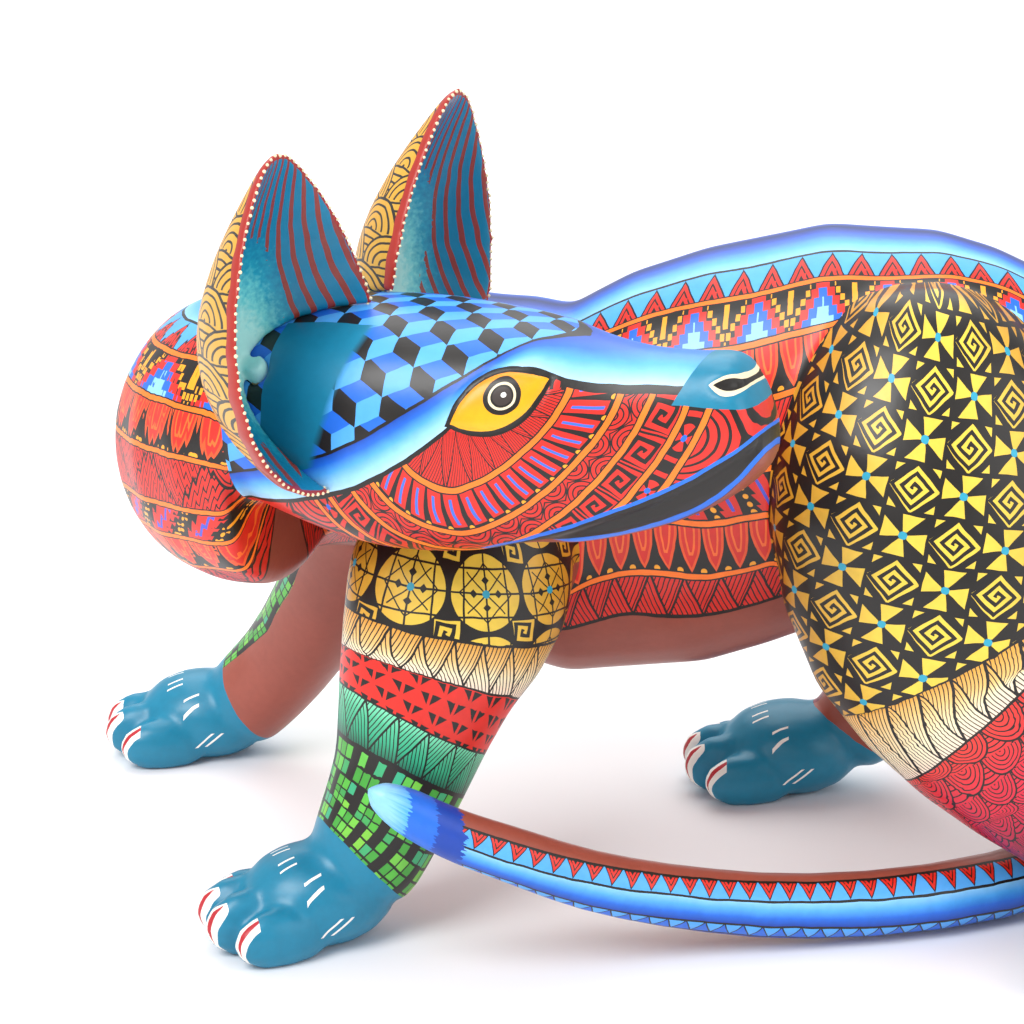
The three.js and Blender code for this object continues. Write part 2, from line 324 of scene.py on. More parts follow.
def girth_tables():
    """Top, bottom and half width of torso and neck at each step of the backbone."""
    cloud = np.concatenate([points_of(blocks[node].data) / MM for node in ("torso", "neck")])
    place, offset, _ = along(cloud[:, :2], backbone, BODY_STEP)
    side = np.linalg.norm(offset, axis=1)
    steps = np.arange(len(backbone)) * BODY_STEP
    top, low, wide = [], [], []
    for step in steps:
        gap = np.abs(place - step)
        near = gap <= max(16, np.sort(gap)[12])
        top.append(cloud[near, 2].max())
        low.append(cloud[near, 2].min())
        wide.append(side[near].max())
    return steps, soften(top), soften(low), np.clip(soften(wide), 20, 50)


def body_measures(points):
    """Distance along the backbone, and distance down the flank from the ridge, in millimetres."""
    steps, top, low, wide = girth_tables()
    flat = points / MM
    place, offset, _ = along(flat[:, :2], backbone, BODY_STEP)
    middle = np.interp(place, steps, (top + low) / 2)
    half = np.interp(place, steps, (top - low) / 2)
    side = np.linalg.norm(offset, axis=1) / np.interp(place, steps, wide)
    turn = np.arctan2(side, (flat[:, 2] - middle) / half)
    neck_start = np.argmin(np.linalg.norm(backbone - (np.array((-38, 38)) + SHIFT), axis=1)) * BODY_STEP
    reach = np.interp(place, [neck_start - 40, neck_start + 30], [54.0, 43.0])
    return np.stack([place, turn * reach, np.zeros(len(points))], axis=1)


LEG_FOOT = 22 # millimetres up, where the leg's middle line ends in the paw
LEG_STEP = 1.5


def leg_line(node):
    """The middle of a leg at every height, found by slicing its block, from the top down."""
    cloud = points_of(blocks[node].data) / MM
    heights = np.arange(cloud[:, 2].max() - 12, LEG_FOOT, -9.0)
    line = []
    for height in heights:
        cut = cloud[np.abs(cloud[:, 2] - height) < 9]
        line.append([*((cut[:, :2].max(axis=0) + cut[:, :2].min(axis=0)) / 2), height])
    return spaced(line, LEG_STEP)


FACING = 25.0 # facing straight outwards, in the units of its measure


def leg_measures(points, node):
    """Distance down the leg, distance round it, both in millimetres, and how far it faces outwards."""
    outwards = -1.0 if node.startswith("left") else 1.0
    flat = points / MM
    girth = 34.0 if "hind" in node else 27.0
    place, offset, heading = along(flat, leg_line(node), LEG_STEP)
    side = np.cross(heading, np.array((0.0, 0.0, 1.0)))
    across = np.array((0, outwards, 0)) - heading * (heading[:, 1] * outwards)[:, None]
    across /= np.linalg.norm(across, axis=1)[:, None]
    along_body = np.cross(heading, across)
    out = (offset * across).sum(axis=1)
    fore = (offset * along_body).sum(axis=1)
    turn = np.arctan2(fore, out)
    return np.stack([place, turn * girth, np.cos(turn) * FACING], axis=1)


def thigh_measures(points, node):
    """Distance round an upright line inside the thigh, and height: a grid with no pole on the skin."""
    outwards = -1.0 if node.startswith("left") else 1.0
    line_points = leg_line(node)
    x, y, _ = line_points[line_points[:, 2] > 90].mean(axis=0)
    radius, sunk = (72.0, 50.0) if "hind" in node else (34.0, 10.0)
    flat = points / MM
    turn = np.arctan2(flat[:, 0] - x, outwards * (flat[:, 1] - y) + sunk)
    return np.stack([turn * radius, -flat[:, 2], np.zeros(len(points))], axis=1)


# A paw's own measures: ahead of its ankle, to its left, and height.
PAWS = {"left_foreleg": ((-55, -48), 197, 1.0), "right_foreleg": ((-103, 108), 183, 0.97),
        "left_hind_leg": ((184, -72), 246, 0.97), "right_hind_leg": ((99, 74), 180, 1.0)}


def paw_measures(points, node):
    (x, y), turn, size = PAWS[node]
    flat = points[:, :2] / MM - (np.array((x, y)) + SHIFT)
    c, s = math.cos(math.radians(turn)), math.sin(math.radians(turn))
    ahead = (flat[:, 0] * c + flat[:, 1] * s) / size
    left = (-flat[:, 0] * s + flat[:, 1] * c) / size
    return np.stack([ahead, left, points[:, 2] / MM / size], axis=1)


# %% [markdown]
# ## Fine carving
# With the broad shape sanded, the knife goes back over the head: a groove for the mouth, a raised
# almond for each eye, a pit for each nostril. They are cut into the mesh itself, by moving points
# along the surface's normals.

# %% Carve the head
EYE_CENTRE = (61.0, 181.3)
EYE_TILT = math.radians(27)
EYE_HALF = (13.6, 7.0)
MOUTH_TOP = [(48, 132.8), (57, 136), (70, 140.8), (84, 147), (102, 155), (118, 164.8),
             (130, 173.8), (136, 181)]


def almond(ahead, height):
    """1 at the rim of the eye, less inside it: two arcs that meet at the corners."""
    dx, dz = ahead - EYE_CENTRE[0], height - EYE_CENTRE[1]
    c, s = math.cos(EYE_TILT), math.sin(EYE_TILT)
    x, z = (dx * c + dz * s) / EYE_HALF[0], (-dx * s + dz * c) / EYE_HALF[1]
    return np.abs(z) + x ** 2


def carve_head(mesh):
    """Raises the eyes and cuts the line round them, the mouth's groove and the nostrils."""
    points, normals = points_of(mesh), read(mesh.vertices, "normal", 3)
    ahead, left, height = head_measures(points).T
    on_head = (ahead > 20) & (np.abs(left) < 60) & (height > 120)
    cheek = on_head & (np.abs(left) > 8)
    rim = almond(ahead, height)
    swell = 1.3 * np.clip(1.15 - rim, 0, 0.5)
    lift = np.where(cheek & (height > 165), swell - 0.7 * np.exp(-((rim - 1.12) / 0.1) ** 2), 0)
    lip = np.interp(ahead, [p[0] for p in MOUTH_TOP], [p[1] for p in MOUTH_TOP])
    groove = np.exp(-((height - lip + 3.4) / 1.6) ** 2)
    groove = groove * np.clip((ahead - 52) / 8, 0, 1) * np.clip((139 - ahead) / 6, 0, 1)
    lift -= np.where(cheek, 1.1 * groove, 0)
    nostril = np.exp(-(((ahead - 122.5) / 4.2) ** 2 + ((height - 188.5) / 2.0) ** 2) ** 1.5)
    lift -= np.where(cheek, 1.6 * nostril, 0)
    move_points(mesh, points + normals * (lift * MM)[:, None])


carve_head(body_mesh)


# %% [markdown]
# ## Back into blocks
# The blocks are painted as one figure but they stay separate pieces. Every face belongs to the
# block of the frame that it is nearest to; the borders are straightened and each piece is closed
# with a cap, which lies hidden in the glued joint.

# %% Give every face to a block
def nearest_block(mesh):
    """The number of the block that each face lies nearest to."""
    trees = []
    for node in GLUED:
        copy = bmesh.new()
        copy.from_mesh(blocks[node].data)
        trees.append(BVHTree.FromBMesh(copy))
        copy.free()
    owner = np.zeros(len(mesh.polygons), dtype=np.int64)
    for i, centre in enumerate(read(mesh.polygons, "center", 3)):
        spot = Vector(centre)
        gaps = [tree.find_nearest(spot, 0.012)[3] for tree in trees]
        owner[i] = min(range(len(GLUED)), key=lambda k: 1.0 if gaps[k] is None else gaps[k])
    return owner


def face_corners(mesh):
    return read(mesh.polygons, "vertices", 4, np.int64)


def face_sides(corners):
    return np.concatenate([corners[:, [i, (i + 1) % 4]] for i in range(4)])


def straighten(mesh, owner, rounds):
    """A face takes the block that most of its neighbourhood has, so borders run clean."""
    corners = face_corners(mesh)
    count = len(mesh.vertices)
    for _ in range(rounds):
        votes = np.zeros((count, len(GLUED)))
        for column in corners.T:
            np.add.at(votes, (column, owner), 1)
        around = sum(votes[column] for column in corners.T)
        owner = np.argmax(around, axis=1)
    return owner


def smooth_borders(mesh, owner, rounds):
    """Irons the stair steps out of the lines where two blocks meet."""
    owners = np.tile(owner, 4)
    key = np.sort(face_sides(face_corners(mesh)), axis=1)
    order = np.lexsort((key[:, 1], key[:, 0]))
    key, owners = key[order], owners[order]
    same = (key[:-1] == key[1:]).all(axis=1) & (owners[:-1] != owners[1:])
    border = key[:-1][same]
    points = points_of(mesh)
    used = np.unique(border)
    local = np.searchsorted(used, border)
    points[used] = relax(points[used], local, rounds, 1.0)
    move_points(mesh, points)


owner = straighten(body_mesh, nearest_block(body_mesh), 6)
smooth_borders(body_mesh, owner, 10)
print("faces of each block:", dict(zip(GLUED, np.bincount(owner, minlength=len(GLUED)).tolist())))


# %% Cut the figure into closed pieces that keep its shading
def cut_piece(mesh, owner, node):
    """The faces of one block as a mesh of their own, closed where it was glued."""
    points, normals = points_of(mesh), read(mesh.vertices, "normal", 3)
    corners = face_corners(mesh)[owner == GLUED.index(node)]
    used, local = np.unique(corners, return_inverse=True)
    corners = local.reshape(-1, 4)
    forward_sides = {(int(a), int(b)) for a, b in face_sides(corners)}
    open_sides = [(a, b) for a, b in forward_sides if (b, a) not in forward_sides]
    loops = border_loops(open_sides)
    vertices = list(map(tuple, points[used]))
    faces = corners.tolist()
    shading = normals[used].tolist()
    middle = points[used].mean(axis=0)
    for loop in loops:
        ring = np.array([vertices[a] for a, _ in loop])
        hub = ring.mean(axis=0)
        hub = hub + 0.03 * (middle - hub)
        vertices.append(tuple(hub))
        shading.append((0, 0, 1))
        faces += [[b, a, len(vertices) - 1] for a, b in loop]
    piece = bpy.data.meshes.new(node)
    piece.from_pydata(vertices, [], faces)
    piece.update()
    piece.polygons.foreach_set("use_smooth", [True] * len(piece.polygons))
    piece.normals_split_custom_set_from_vertices(shading)
    return as_object("carved_" + node, piece)


def border_loops(open_sides):
    """Groups the open sides into connected loops."""
    parent = {}

    def root(a):
        while parent.setdefault(a, a) != a:
            parent[a] = parent[parent[a]]
            a = parent[a]
        return a

    for a, b in open_sides:
        parent[root(a)] = root(b)
    groups = {}
    for a, b in sorted(open_sides):
        groups.setdefault(root(a), []).append((a, b))
    return list(groups.values())


carved = {node: cut_piece(body_mesh, owner, node) for node in GLUED}
for node, piece in carved.items():
    print(piece.name, len(piece.data.polygons), "faces")


# %% [markdown]
# ## Paint
# The paint is satin acrylic: opaque, a little glossy, with the faint ridges that a soft brush
# leaves. Each material is one shader that reads the measures above and draws the patterns by
# arithmetic, so they stay sharp at any distance. A number in the shader is a Term: adding or
# comparing two Terms adds a Math node. A hand is never quite steady, so the measures are first
# shifted by a slow noise of a few tenths of a millimetre.

# %% One function adds a node, and Terms do arithmetic with nodes
def add(tree, kind, inputs=None, **settings):
    """Adds a node, sets it, and fills or links its inputs."""
    made = tree.nodes.new(kind)
    for name, value in settings.items():
        setattr(made, name, value)
    for key, value in (inputs or {}).items():
        value = getattr(value, "socket", value)
        if isinstance(value, bpy.types.NodeSocket):
            tree.links.new(value, made.inputs[key])
        else:
            made.inputs[key].default_value = value
    return made


class Term:
    """A number on the surface, made by a node."""

    def __init__(self, tree, socket):
        self.tree, self.socket = tree, socket

    def math(self, operation, *others):
        terms = dict(enumerate((self, *others)))
        return Term(self.tree, add(self.tree, "ShaderNodeMath", terms, operation=operation).outputs[0])

    def turned_math(self, operation, first):
        made = add(self.tree, "ShaderNodeMath", {0: first, 1: self}, operation=operation)
        return Term(self.tree, made.outputs[0])

    def __add__(self, other): return self.math("ADD", other)
    def __radd__(self, other): return self.math("ADD", other)
    def __sub__(self, other): return self.math("SUBTRACT", other)
    def __rsub__(self, other): return self.turned_math("SUBTRACT", other)
    def __mul__(self, other): return self.math("MULTIPLY", other)
    def __rmul__(self, other): return self.math("MULTIPLY", other)
    def __truediv__(self, other): return self.math("DIVIDE", other)
    def __rtruediv__(self, other): return self.turned_math("DIVIDE", other)
    def __lt__(self, other): return self.math("LESS_THAN", other)
    def __gt__(self, other): return self.math("GREATER_THAN", other)
    def __abs__(self): return self.math("ABSOLUTE")
    def __pow__(self, other): return self.math("POWER", other)
    def floor(self): return self.math("FLOOR")
    def fract(self): return self.math("FRACT")
    def low(self, other): return self.math("MINIMUM", other)
    def high(self, other): return self.math("MAXIMUM", other)
    def root(self): return self.math("SQRT")
    def angle(self, other): return self.math("ARCTAN2", other)


def linear(code):
    """An sRGB hex colour as linear red, green, blue and alpha."""
    parts = [int(code[i:i + 2], 16) / 255 for i in (1, 3, 5)]
    return tuple(c / 12.92 if c <= 0.04045 else ((c + 0.055) / 1.055) ** 2.4 for c in parts) + (1.0,)


def over(base, colour, mask):
    """Paints a colour over another where the mask is 1."""
    tree = mask.tree
    base, colour = (linear(c) if isinstance(c, str) else c for c in (base, colour))
    made = add(tree, "ShaderNodeMix", {0: mask, 6: base, 7: colour}, data_type="RGBA")
    return made.outputs[2]


def ramped(tree, share, colours):
    """Colours in order as a share goes from 0 to 1."""
    made = add(tree, "ShaderNodeValToRGB", {0: share})
    ramp = made.color_ramp
    while len(ramp.elements) < len(colours):
        ramp.elements.new(0.5)
    for i, code in enumerate(colours):
        ramp.elements[i].position = i / max(1, len(colours) - 1)
        ramp.elements[i].color = linear(code)
    return made.outputs[0]


def blend(where, low, high, colours):
    """Wet-blended strokes: one colour runs into the next between two places."""
    return ramped(where.tree, (where - low) / (high - low), colours)


# The pots of paint
BLACK, CREAM, WHITE = "#17120F", "#F2E2BC", "#F4F1EA"
ORANGE, AMBER, RED = "#FF7A1C", "#F5A31E", "#D8261A"
# The ochre next to the gold is the gold with painted shade, for the sides of the legs that turn away.
SKY, LIGHT_BLUE, MID_BLUE, DEEP_BLUE, NAVY = "#8CCBF6", "#4FA6EE", "#1B68D6", "#0B3FA6", "#0A2A66"
GOLD, SHADED_GOLD, TEAL = "#E6C545", "#C58A22", "#0C7A9B"
GREEN, LEAF, SEA = "#3F9B35", "#5DBB46", "#2FA37A"
BROWN, CRIMSON, YELLOW, LIP_BLUE = "#94493A", "#C5123A", "#F6A800", "#1E6FE0"


# %% Patterns, each from a distance along the band (u) and a height in it (t, 0 to 1 down the band)
def peaks(u, period):
    """Rises and falls between 0 and 1 once every period."""
    return u.math("PINGPONG", period / 2) / (period / 2)


def cell(u, period):
    """Place inside one repeat, from -0.5 to 0.5."""
    return (u / period).fract() - 0.5


def line(value, place, width):
    """1 on a painted line where the value passes a place."""
    return abs(value - place) < width / 2


def dot(x, y, radius):
    return (x * x + y * y).root() < radius


def stripes(value, period, share):
    """1 over a share of every period."""
    return (value / period).fract() < share


def spiral_triangles(u, t, height):
    """Red triangles with a wound black line in each, on light blue. Their points are at t = 0."""
    period = 0.72 * height
    depth = peaks(u, period) - (1.0 - t) * 1.04
    paint = over(LIGHT_BLUE, BLACK, depth > 0.0)
    paint = over(paint, RED, depth > 0.12)
    wound = line(depth, 0.42, 0.12) * (1.0 - line(cell(u, period), -0.1, 0.12) * (t > 0.7))
    paint = over(paint, BLACK, wound.high(depth > 0.72))
    return over(paint, BLACK, (t > 0.9) * (depth > 0.0))


def stepped_frets(u, t, height):
    """Stepped pyramids in red and blue, with orange steps hanging between them."""
    period = 1.22 * height
    peak = peaks(u, period)
    rise = 1.0 - t
    steps = lambda value: (value * 5.0).floor() / 5.0
    paint = over(BLACK, RED, rise < steps(peak * 1.25 + 0.02))
    paint = over(paint, MID_BLUE, rise < steps(peak * 1.25 - 0.28))
    paint = over(paint, SKY, rise < steps(peak * 1.25 - 0.62))
    valley = ((1.0 - peak) * 1.2 * 6.0).floor() / 6.0
    hung = (t < valley - 0.16) * (t > valley - 0.3) + line(peak, 0.0, 0.16) * (t < 0.62) * (t > 0.12)
    return over(paint, AMBER, hung.low(1.0) * (peak < 0.62))


def feathers(u, t, height):
    """Pointed red feathers with orange outlines, hanging from the line above."""
    period = 0.46 * height
    x = abs(cell(u + t * (0.1 * height), period))
    width = 0.47 * (1.0 - (t * 1.08) ** 2.6).high(0.0)
    paint = over(BLACK, "#E8521E", x < width)
    paint = over(paint, RED, x < width - 0.11)
    paint = over(paint, "#F06A24", (x < width - 0.24) * (t < 0.6))
    paint = over(paint, RED, (x < width - 0.32) * (t < 0.54))
    return over(paint, AMBER, dot(x - 0.5, (t - 0.9) * (1 / 0.46), 0.13))


def zigzag_hatch(u, t, height, ground=RED, share=0.8):
    """Triangles filled with lines along one of their sides, pointing down and up in turn."""
    period = share * height
    slope = 2 * height / period
    scale = math.sqrt(1 + slope * slope)
    point_down = t < 1.0 - abs(cell(u, period)) * 2.0
    half_way = cell(u, period) * period
    other = cell(u + period / 2, period) * period
    falling = stripes((half_way * slope - t * height) / scale + 50.0, 1.35, 0.27)
    rising = stripes((other * slope + t * height) / scale + 50.0, 1.35, 0.27)
    paint = over(ground, BLACK, falling * point_down)
    paint = over(paint, BLACK, rising * (1.0 - point_down))
    side = abs(t - 1.0 + abs(cell(u, period)) * 2.0) * (height / scale)
    return over(paint, BLACK, side < 0.35)


def dotted_blocks(u, t, height):
    """Slanted red blocks with a stepped side and a blue stroke, and dots on black between them."""
    period = 0.86 * height
    x = cell(u + t * (0.5 * height), period)
    teeth = x + (t * 4.0).fract() * 0.14
    paint = over(BLACK, RED, (teeth < 0.12) * (x > -0.46))
    paint = over(paint, "#4A55C8", line(x + 0.2 + (t - 0.3) * 0.12, 0.0, 0.1) * (t > 0.12) * (t < 0.8))
    y = cell(t * height, height / 5)
    return over(paint, AMBER, dot(x - 0.3 + 0.05 * t, y * 0.22, 0.05 + 0.035 * t))


def waves(u, t, height):
    """Fans of curved lines that overlap like scales."""
    period = 1.3 * height
    x = cell(u, period)
    first = (x * x + t * t * 0.6).root()
    other = (u / period + 0.5).fract() - 0.5
    second = (other * other + (1.0 - t) * (1.0 - t) * 0.6).root()
    distance = first.low(second)
    paint = over(RED, BLACK, stripes(distance * period, 1.5, 0.3))
    return over(paint, BLACK, line(first - second, 0, 0.07))


def scales(u, v, size, ground, spacing=1.6):
    """Rows of overlapping round scales, each with rings inside it."""
    row = (v / (size * 0.5)).floor()
    inside = v - row * (size * 0.5)
    shift = (row * 0.5).fract() * size
    x = cell(u + shift, size) * size
    near = (x * x + inside * inside).root()
    other = cell(u + shift + size * 0.5, size) * size
    behind = (other * other + (inside + size * 0.5) * (inside + size * 0.5)).root()
    chosen = near < size * 0.5
    distance = near * chosen + behind * (1.0 - chosen)
    paint = over(ground, BLACK, stripes(distance, spacing, 0.28))
    return over(paint, BLACK, (near > size * 0.46) * chosen)


def square_spiral(x, y, pitch):
    """Lines that wind square round a centre, 0.5 either way across."""
    reach = abs(x).high(abs(y))
    turn = y.angle(x) / (2 * math.pi)
    return ((reach + turn * pitch) / pitch).fract() < 0.5


def greek_key(u, t, height):
    """Square spirals side by side with an upright line between them."""
    x = cell(u, height)
    y = t - 0.5
    wound = square_spiral(x, y, 0.25) * (abs(x).high(abs(y)) < 0.42)
    return over(RED, BLACK, wound.high(abs(x) > 0.47))


def diamonds(u, v, size, ink):
    """Wound diamonds and pinwheels on black, in turn, with a blue dot in each pinwheel."""
    a, b = u / size, v / size
    x, y = a.fract() - 0.5, b.fract() - 0.5
    odd = ((a.floor() + b.floor()) / 2).fract() > 0.25
    p, q = (x + y) * 0.78, (x - y) * 0.78
    diamond = square_spiral(p, q, 0.17) * (abs(p).high(abs(q)) < 0.41)
    turn = (y.angle(x) / (math.pi / 2) + 0.15).fract()
    reach = abs(x).high(abs(y))
    wheel = (turn < 0.56) * (reach < 0.44) * (reach > 0.08)
    corner = (abs(x) + abs(y) > 0.74) * (reach < 0.46)
    gold = diamond * (1.0 - odd) + wheel * odd + corner * (1.0 - odd)
    paint = over(BLACK, ink, gold.low(1.0))
    return over(paint, "#2B9DBA", dot(x, y, 0.085) * odd)


def medallions(u, v, size, ink):
    """Gold rounds crossed by fine black lines, with wound squares between them."""
    x, y = cell(u, size), cell(v, size)
    a, b = abs(x), abs(y)
    reach = (x * x + y * y).root()
    fine = 0.026
    paint = over(BLACK, ink, reach < 0.465)
    crossed = line(a, 0.0, fine).high(line(b, 0.0, fine)).high(line(a - b, 0.0, fine) * (reach < 0.36))
    framed = line(a, 0.3, fine).high(line(b, 0.3, fine)).high(line(a + b, 0.36, fine))
    gems = (abs(a - 0.17) + b < 0.055).high(abs(b - 0.17) + a < 0.055)
    paint = over(paint, BLACK, crossed.high(framed).high(gems))
    far_x, far_y = (u / size).fract(), (v / size).fract()
    edge_x, edge_y = far_x - far_x.math("ROUND"), far_y - far_y.math("ROUND")
    inside = abs(edge_x).high(abs(edge_y)) < 0.155
    paint = over(paint, BLACK, inside)
    paint = over(paint, ink, square_spiral(edge_x, edge_y, 0.1) * inside)
    return over(paint, "#2B9DBA", reach < 0.05)


def little_squares(u, v, size):
    """Green squares in threes on black, a few of them turquoise."""
    tree = u.tree
    a, b = u / size, v / size
    spot = add(tree, "ShaderNodeCombineXYZ", {0: a.floor(), 1: b.floor()}).outputs[0]
    chance = Term(tree, add(tree, "ShaderNodeTexWhiteNoise", {"Vector": spot}).outputs["Value"])
    group = (a.floor() + (b / 3.0).floor() * 2.0) / 4.0
    shown = (group.fract() < 0.7) * (chance > 0.05)
    inside = (abs(a.fract() - 0.5) < 0.42) * (abs(b.fract() - 0.5) < 0.41) * shown
    green = blend(chance, 0.0, 1.0, ["#2FAF8F", GREEN, GREEN, "#4FAF36", LEAF, "#7BC23A"])
    return over(BLACK, green, inside)


def broken_triangles(u, v, size):
    """Small black triangles scattered on red."""
    a, b = u / size, v / size
    x, y = a.fract(), b.fract()
    flip = ((a.floor() + b.floor()) / 2).fract() > 0.25
    one = (x + y < 0.92) * (x > 0.12) * (y > 0.12)
    two = ((1.0 - x) + y < 0.92) * (x < 0.88) * (y > 0.12)
    return over(RED, BLACK, one * flip + two * (1.0 - flip))


def tumbling_blocks(u, v, size):
    """Lozenges in three blues that look like stacked cubes."""
    wide, tall = size, size * 1.2
    ax, ay = cell(u, wide) * wide, cell(v, tall) * tall
    bx, by = cell(u + wide / 2, wide) * wide, cell(v + tall / 2, tall) * tall
    near_a = (ax * ax + ay * ay * 1.6) < (bx * bx + by * by * 1.6)
    x = ax * near_a + bx * (1.0 - near_a)
    y = ay * near_a + by * (1.0 - near_a)
    turn = (y.angle(x) / (2 * math.pi) + 1.25).fract() * 3
    paint = over(LIGHT_BLUE, MID_BLUE, turn > 1.0)
    return over(paint, BLACK, turn > 2.0)


def bands(where, along_band, start, plan, ground):
    """Lays bands side by side. The plan lists each band's far edge, its pattern and its edge line."""
    paint, low = ground, start
    for high, pattern, _ in plan:
        t = (where - low) / (high - low)
        inside = (where > low) * (where < high)
        paint = over(paint, pattern(along_band, t, high - low), inside)
        low = high
    for high, _, edge in plan:
        if edge:
            colour, width = edge
            paint = over(paint, BLACK, line(where, high, width + 0.9))
            paint = over(paint, colour, line(where, high, width))
    return paint


# %% The satin acrylic itself
HAND = 0.32 # millimetres that the brush wanders


def measure(tree, name):
    """The three numbers of an attribute, shifted as an unsteady hand would."""
    place = add(tree, "ShaderNodeAttribute", attribute_name=name).outputs["Vector"]
    coords = add(tree, "ShaderNodeTexCoord").outputs["Object"]
    sway = add(tree, "ShaderNodeTexNoise", {"Vector": coords, "Scale": 95.0, "Detail": 2.0}).outputs["Color"]
    vector = lambda inputs, kind: add(tree, "ShaderNodeVectorMath", inputs, operation=kind).outputs[0]
    centred = vector({0: sway, 1: (0.5, 0.5, 0.5)}, "SUBTRACT")
    sized = vector({0: centred, "Scale": 4.0 * HAND}, "SCALE")
    moved = vector({0: place, 1: sized}, "ADD")
    parts = add(tree, "ShaderNodeSeparateXYZ", {0: moved}).outputs
    return [Term(tree, part) for part in parts]


def satin(tree, colour):
    """Finishes a material: brush marks in tone, gloss and relief over the painted colour."""
    coords = add(tree, "ShaderNodeTexCoord").outputs["Object"]
    brush = add(tree, "ShaderNodeTexNoise", {"Vector": coords, "Scale": 420.0, "Detail": 4.0}).outputs[0]
    cloud = add(tree, "ShaderNodeTexNoise", {"Vector": coords, "Scale": 60.0, "Detail": 3.0}).outputs[0]
    tone = Term(tree, brush) * 0.22 + Term(tree, cloud) * 0.3 + 0.76
    toned = add(tree, "ShaderNodeMix", {0: 1.0, 6: colour, 7: tone}, data_type="RGBA", blend_type="MULTIPLY")
    gloss = Term(tree, cloud) * 0.16 + 0.3
    relief = add(tree, "ShaderNodeBump", {"Height": brush, "Strength": 0.12, "Distance": 0.4 * MM})
    shader = tree.nodes["Principled BSDF"]
    tree.links.new(toned.outputs[2], shader.inputs["Base Color"])
    tree.links.new(gloss.socket, shader.inputs["Roughness"])
    tree.links.new(relief.outputs[0], shader.inputs["Normal"])
    shader.inputs["IOR"].default_value = 1.47
    shader.inputs["Coat Weight"].default_value = 0.08
    shader.inputs["Coat Roughness"].default_value = 0.25


def painted(name, draw):
    """A material whose colour is drawn by a function of its node tree."""
    material = bpy.data.materials.new(name)
    material.use_nodes = True
    satin(material.node_tree, draw(material.node_tree))
    return material


def keep_measure(piece, name, values):
    """Stores three numbers at every point of a piece, for the paint to read."""
    attribute = piece.data.attributes.new(name, "FLOAT_VECTOR", "POINT")
    attribute.data.foreach_set("vector", np.ascontiguousarray(values, dtype=np.float32).ravel())


# %% Torso and neck
BODY_BANDS = [
    (33.0, spiral_triangles, (ORANGE, 1.5)),
    (48.0, stepped_frets, (ORANGE, 1.5)),
    (63.0, feathers, (ORANGE, 1.5)),
    (80.0, zigzag_hatch, (ORANGE, 1.5)),
    (92.0, dotted_blocks, (ORANGE, 1.5)),
    (107.0, feathers, (ORANGE, 1.5)),
    (120.0, zigzag_hatch, (BLACK, 0.6)),
]


def draw_body(tree):
    u, v, _ = measure(tree, "body")
    ridge = blend(v, 0.0, 21.0, [NAVY, DEEP_BLUE, MID_BLUE, LIGHT_BLUE, SKY])
    paint = bands(v, u, 21.0, BODY_BANDS, BROWN)
    paint = over(paint, ridge, v < 21.0)
    paint = over(paint, BLACK, line(v, 21.0, 1.1))
    return over(paint, BROWN, v > 120.5)


# Satin acrylic over sealed copal: gives the eye the graded blue ridge and the ordered red bands.
body_paint = painted("acrylic bands on copal", draw_body)
for name in ("torso", "neck"):
    piece = carved[name]
    keep_measure(piece, "body", body_measures(points_of(piece.data)))
    piece.data.materials.append(body_paint)


# %% [markdown]
# ## The head
# The head is painted in three fields. The crown carries lozenges in three blues that look like
# stacked cubes. A wet-blended blue band runs from the ear over the eye to the nose. Below it the
# cheek is red, in bands that curve round under the eye and run out along the muzzle, with an
# orange line along each. The mouth is a black crescent with a bright blue lip.

# %% The edges of the head's fields, as distance ahead and height
CROWN_EDGE = [(-30, 150), (12, 161.5), (30.5, 173.4), (57, 192.2), (67, 197.9), (83, 196),
              (96, 196.5), (116, 197.7), (140, 198)]
CHEEK_EDGE = [(-30, 141), (12, 149.8), (33, 161.5), (48, 172.8), (60, 188), (67, 192), (76, 187.6),
              (90, 186), (110, 188), (140, 188)]
MOUTH_LOW = [(48, 132.4), (60, 135.5), (73, 138.5), (87, 141.5), (100, 145.5), (113, 152),
             (123, 160), (130, 168), (136, 178)]
MOUTH_END = 51.0 # how far ahead the corner of the mouth is
PUPIL = (62.6, 183.2)
BAND_SHARE = 10.0 # the band from edge to edge, in the units of its measure


def height_on(edge, ahead):
    """The height of an edge line at each distance ahead."""
    path = spaced(edge, 1.0)
    return np.interp(ahead, path[:, 0], path[:, 1])


def face_measures(points):
    """Distance along the cheek's bands, their level under the eye, and the place in the blue band."""
    ahead, _, height = head_measures(points).T
    m, n = ahead - 50, np.maximum(185 - height, 0)
    front = (np.maximum(m, 0) ** 1.42 + n ** 1.42) ** (1 / 1.42)
    back = np.sqrt(1.9 * m ** 2 + n ** 2)
    level = np.where(m > 0, front, back)
    round_eye = np.arctan2(n, -m) * 50
    top, low = height_on(CROWN_EDGE, ahead), height_on(CHEEK_EDGE, ahead)
    return np.stack([round_eye, level, (height - low) / (top - low) * BAND_SHARE], axis=1)


def skull_measures(points):
    """Distance ahead, distance down from the top of the head round its side, and height."""
    ahead, left, height = head_measures(points).T
    return np.stack([ahead, np.arctan2(left, height - 165) * 36, height], axis=1)


def lip_measures(points):
    """Height above the mouth's upper and lower edges, and distance ahead."""
    ahead, _, height = head_measures(points).T
    top, low = height_on(MOUTH_TOP, ahead), height_on(MOUTH_LOW, ahead)
    return np.stack([height - top, height - low, ahead], axis=1)


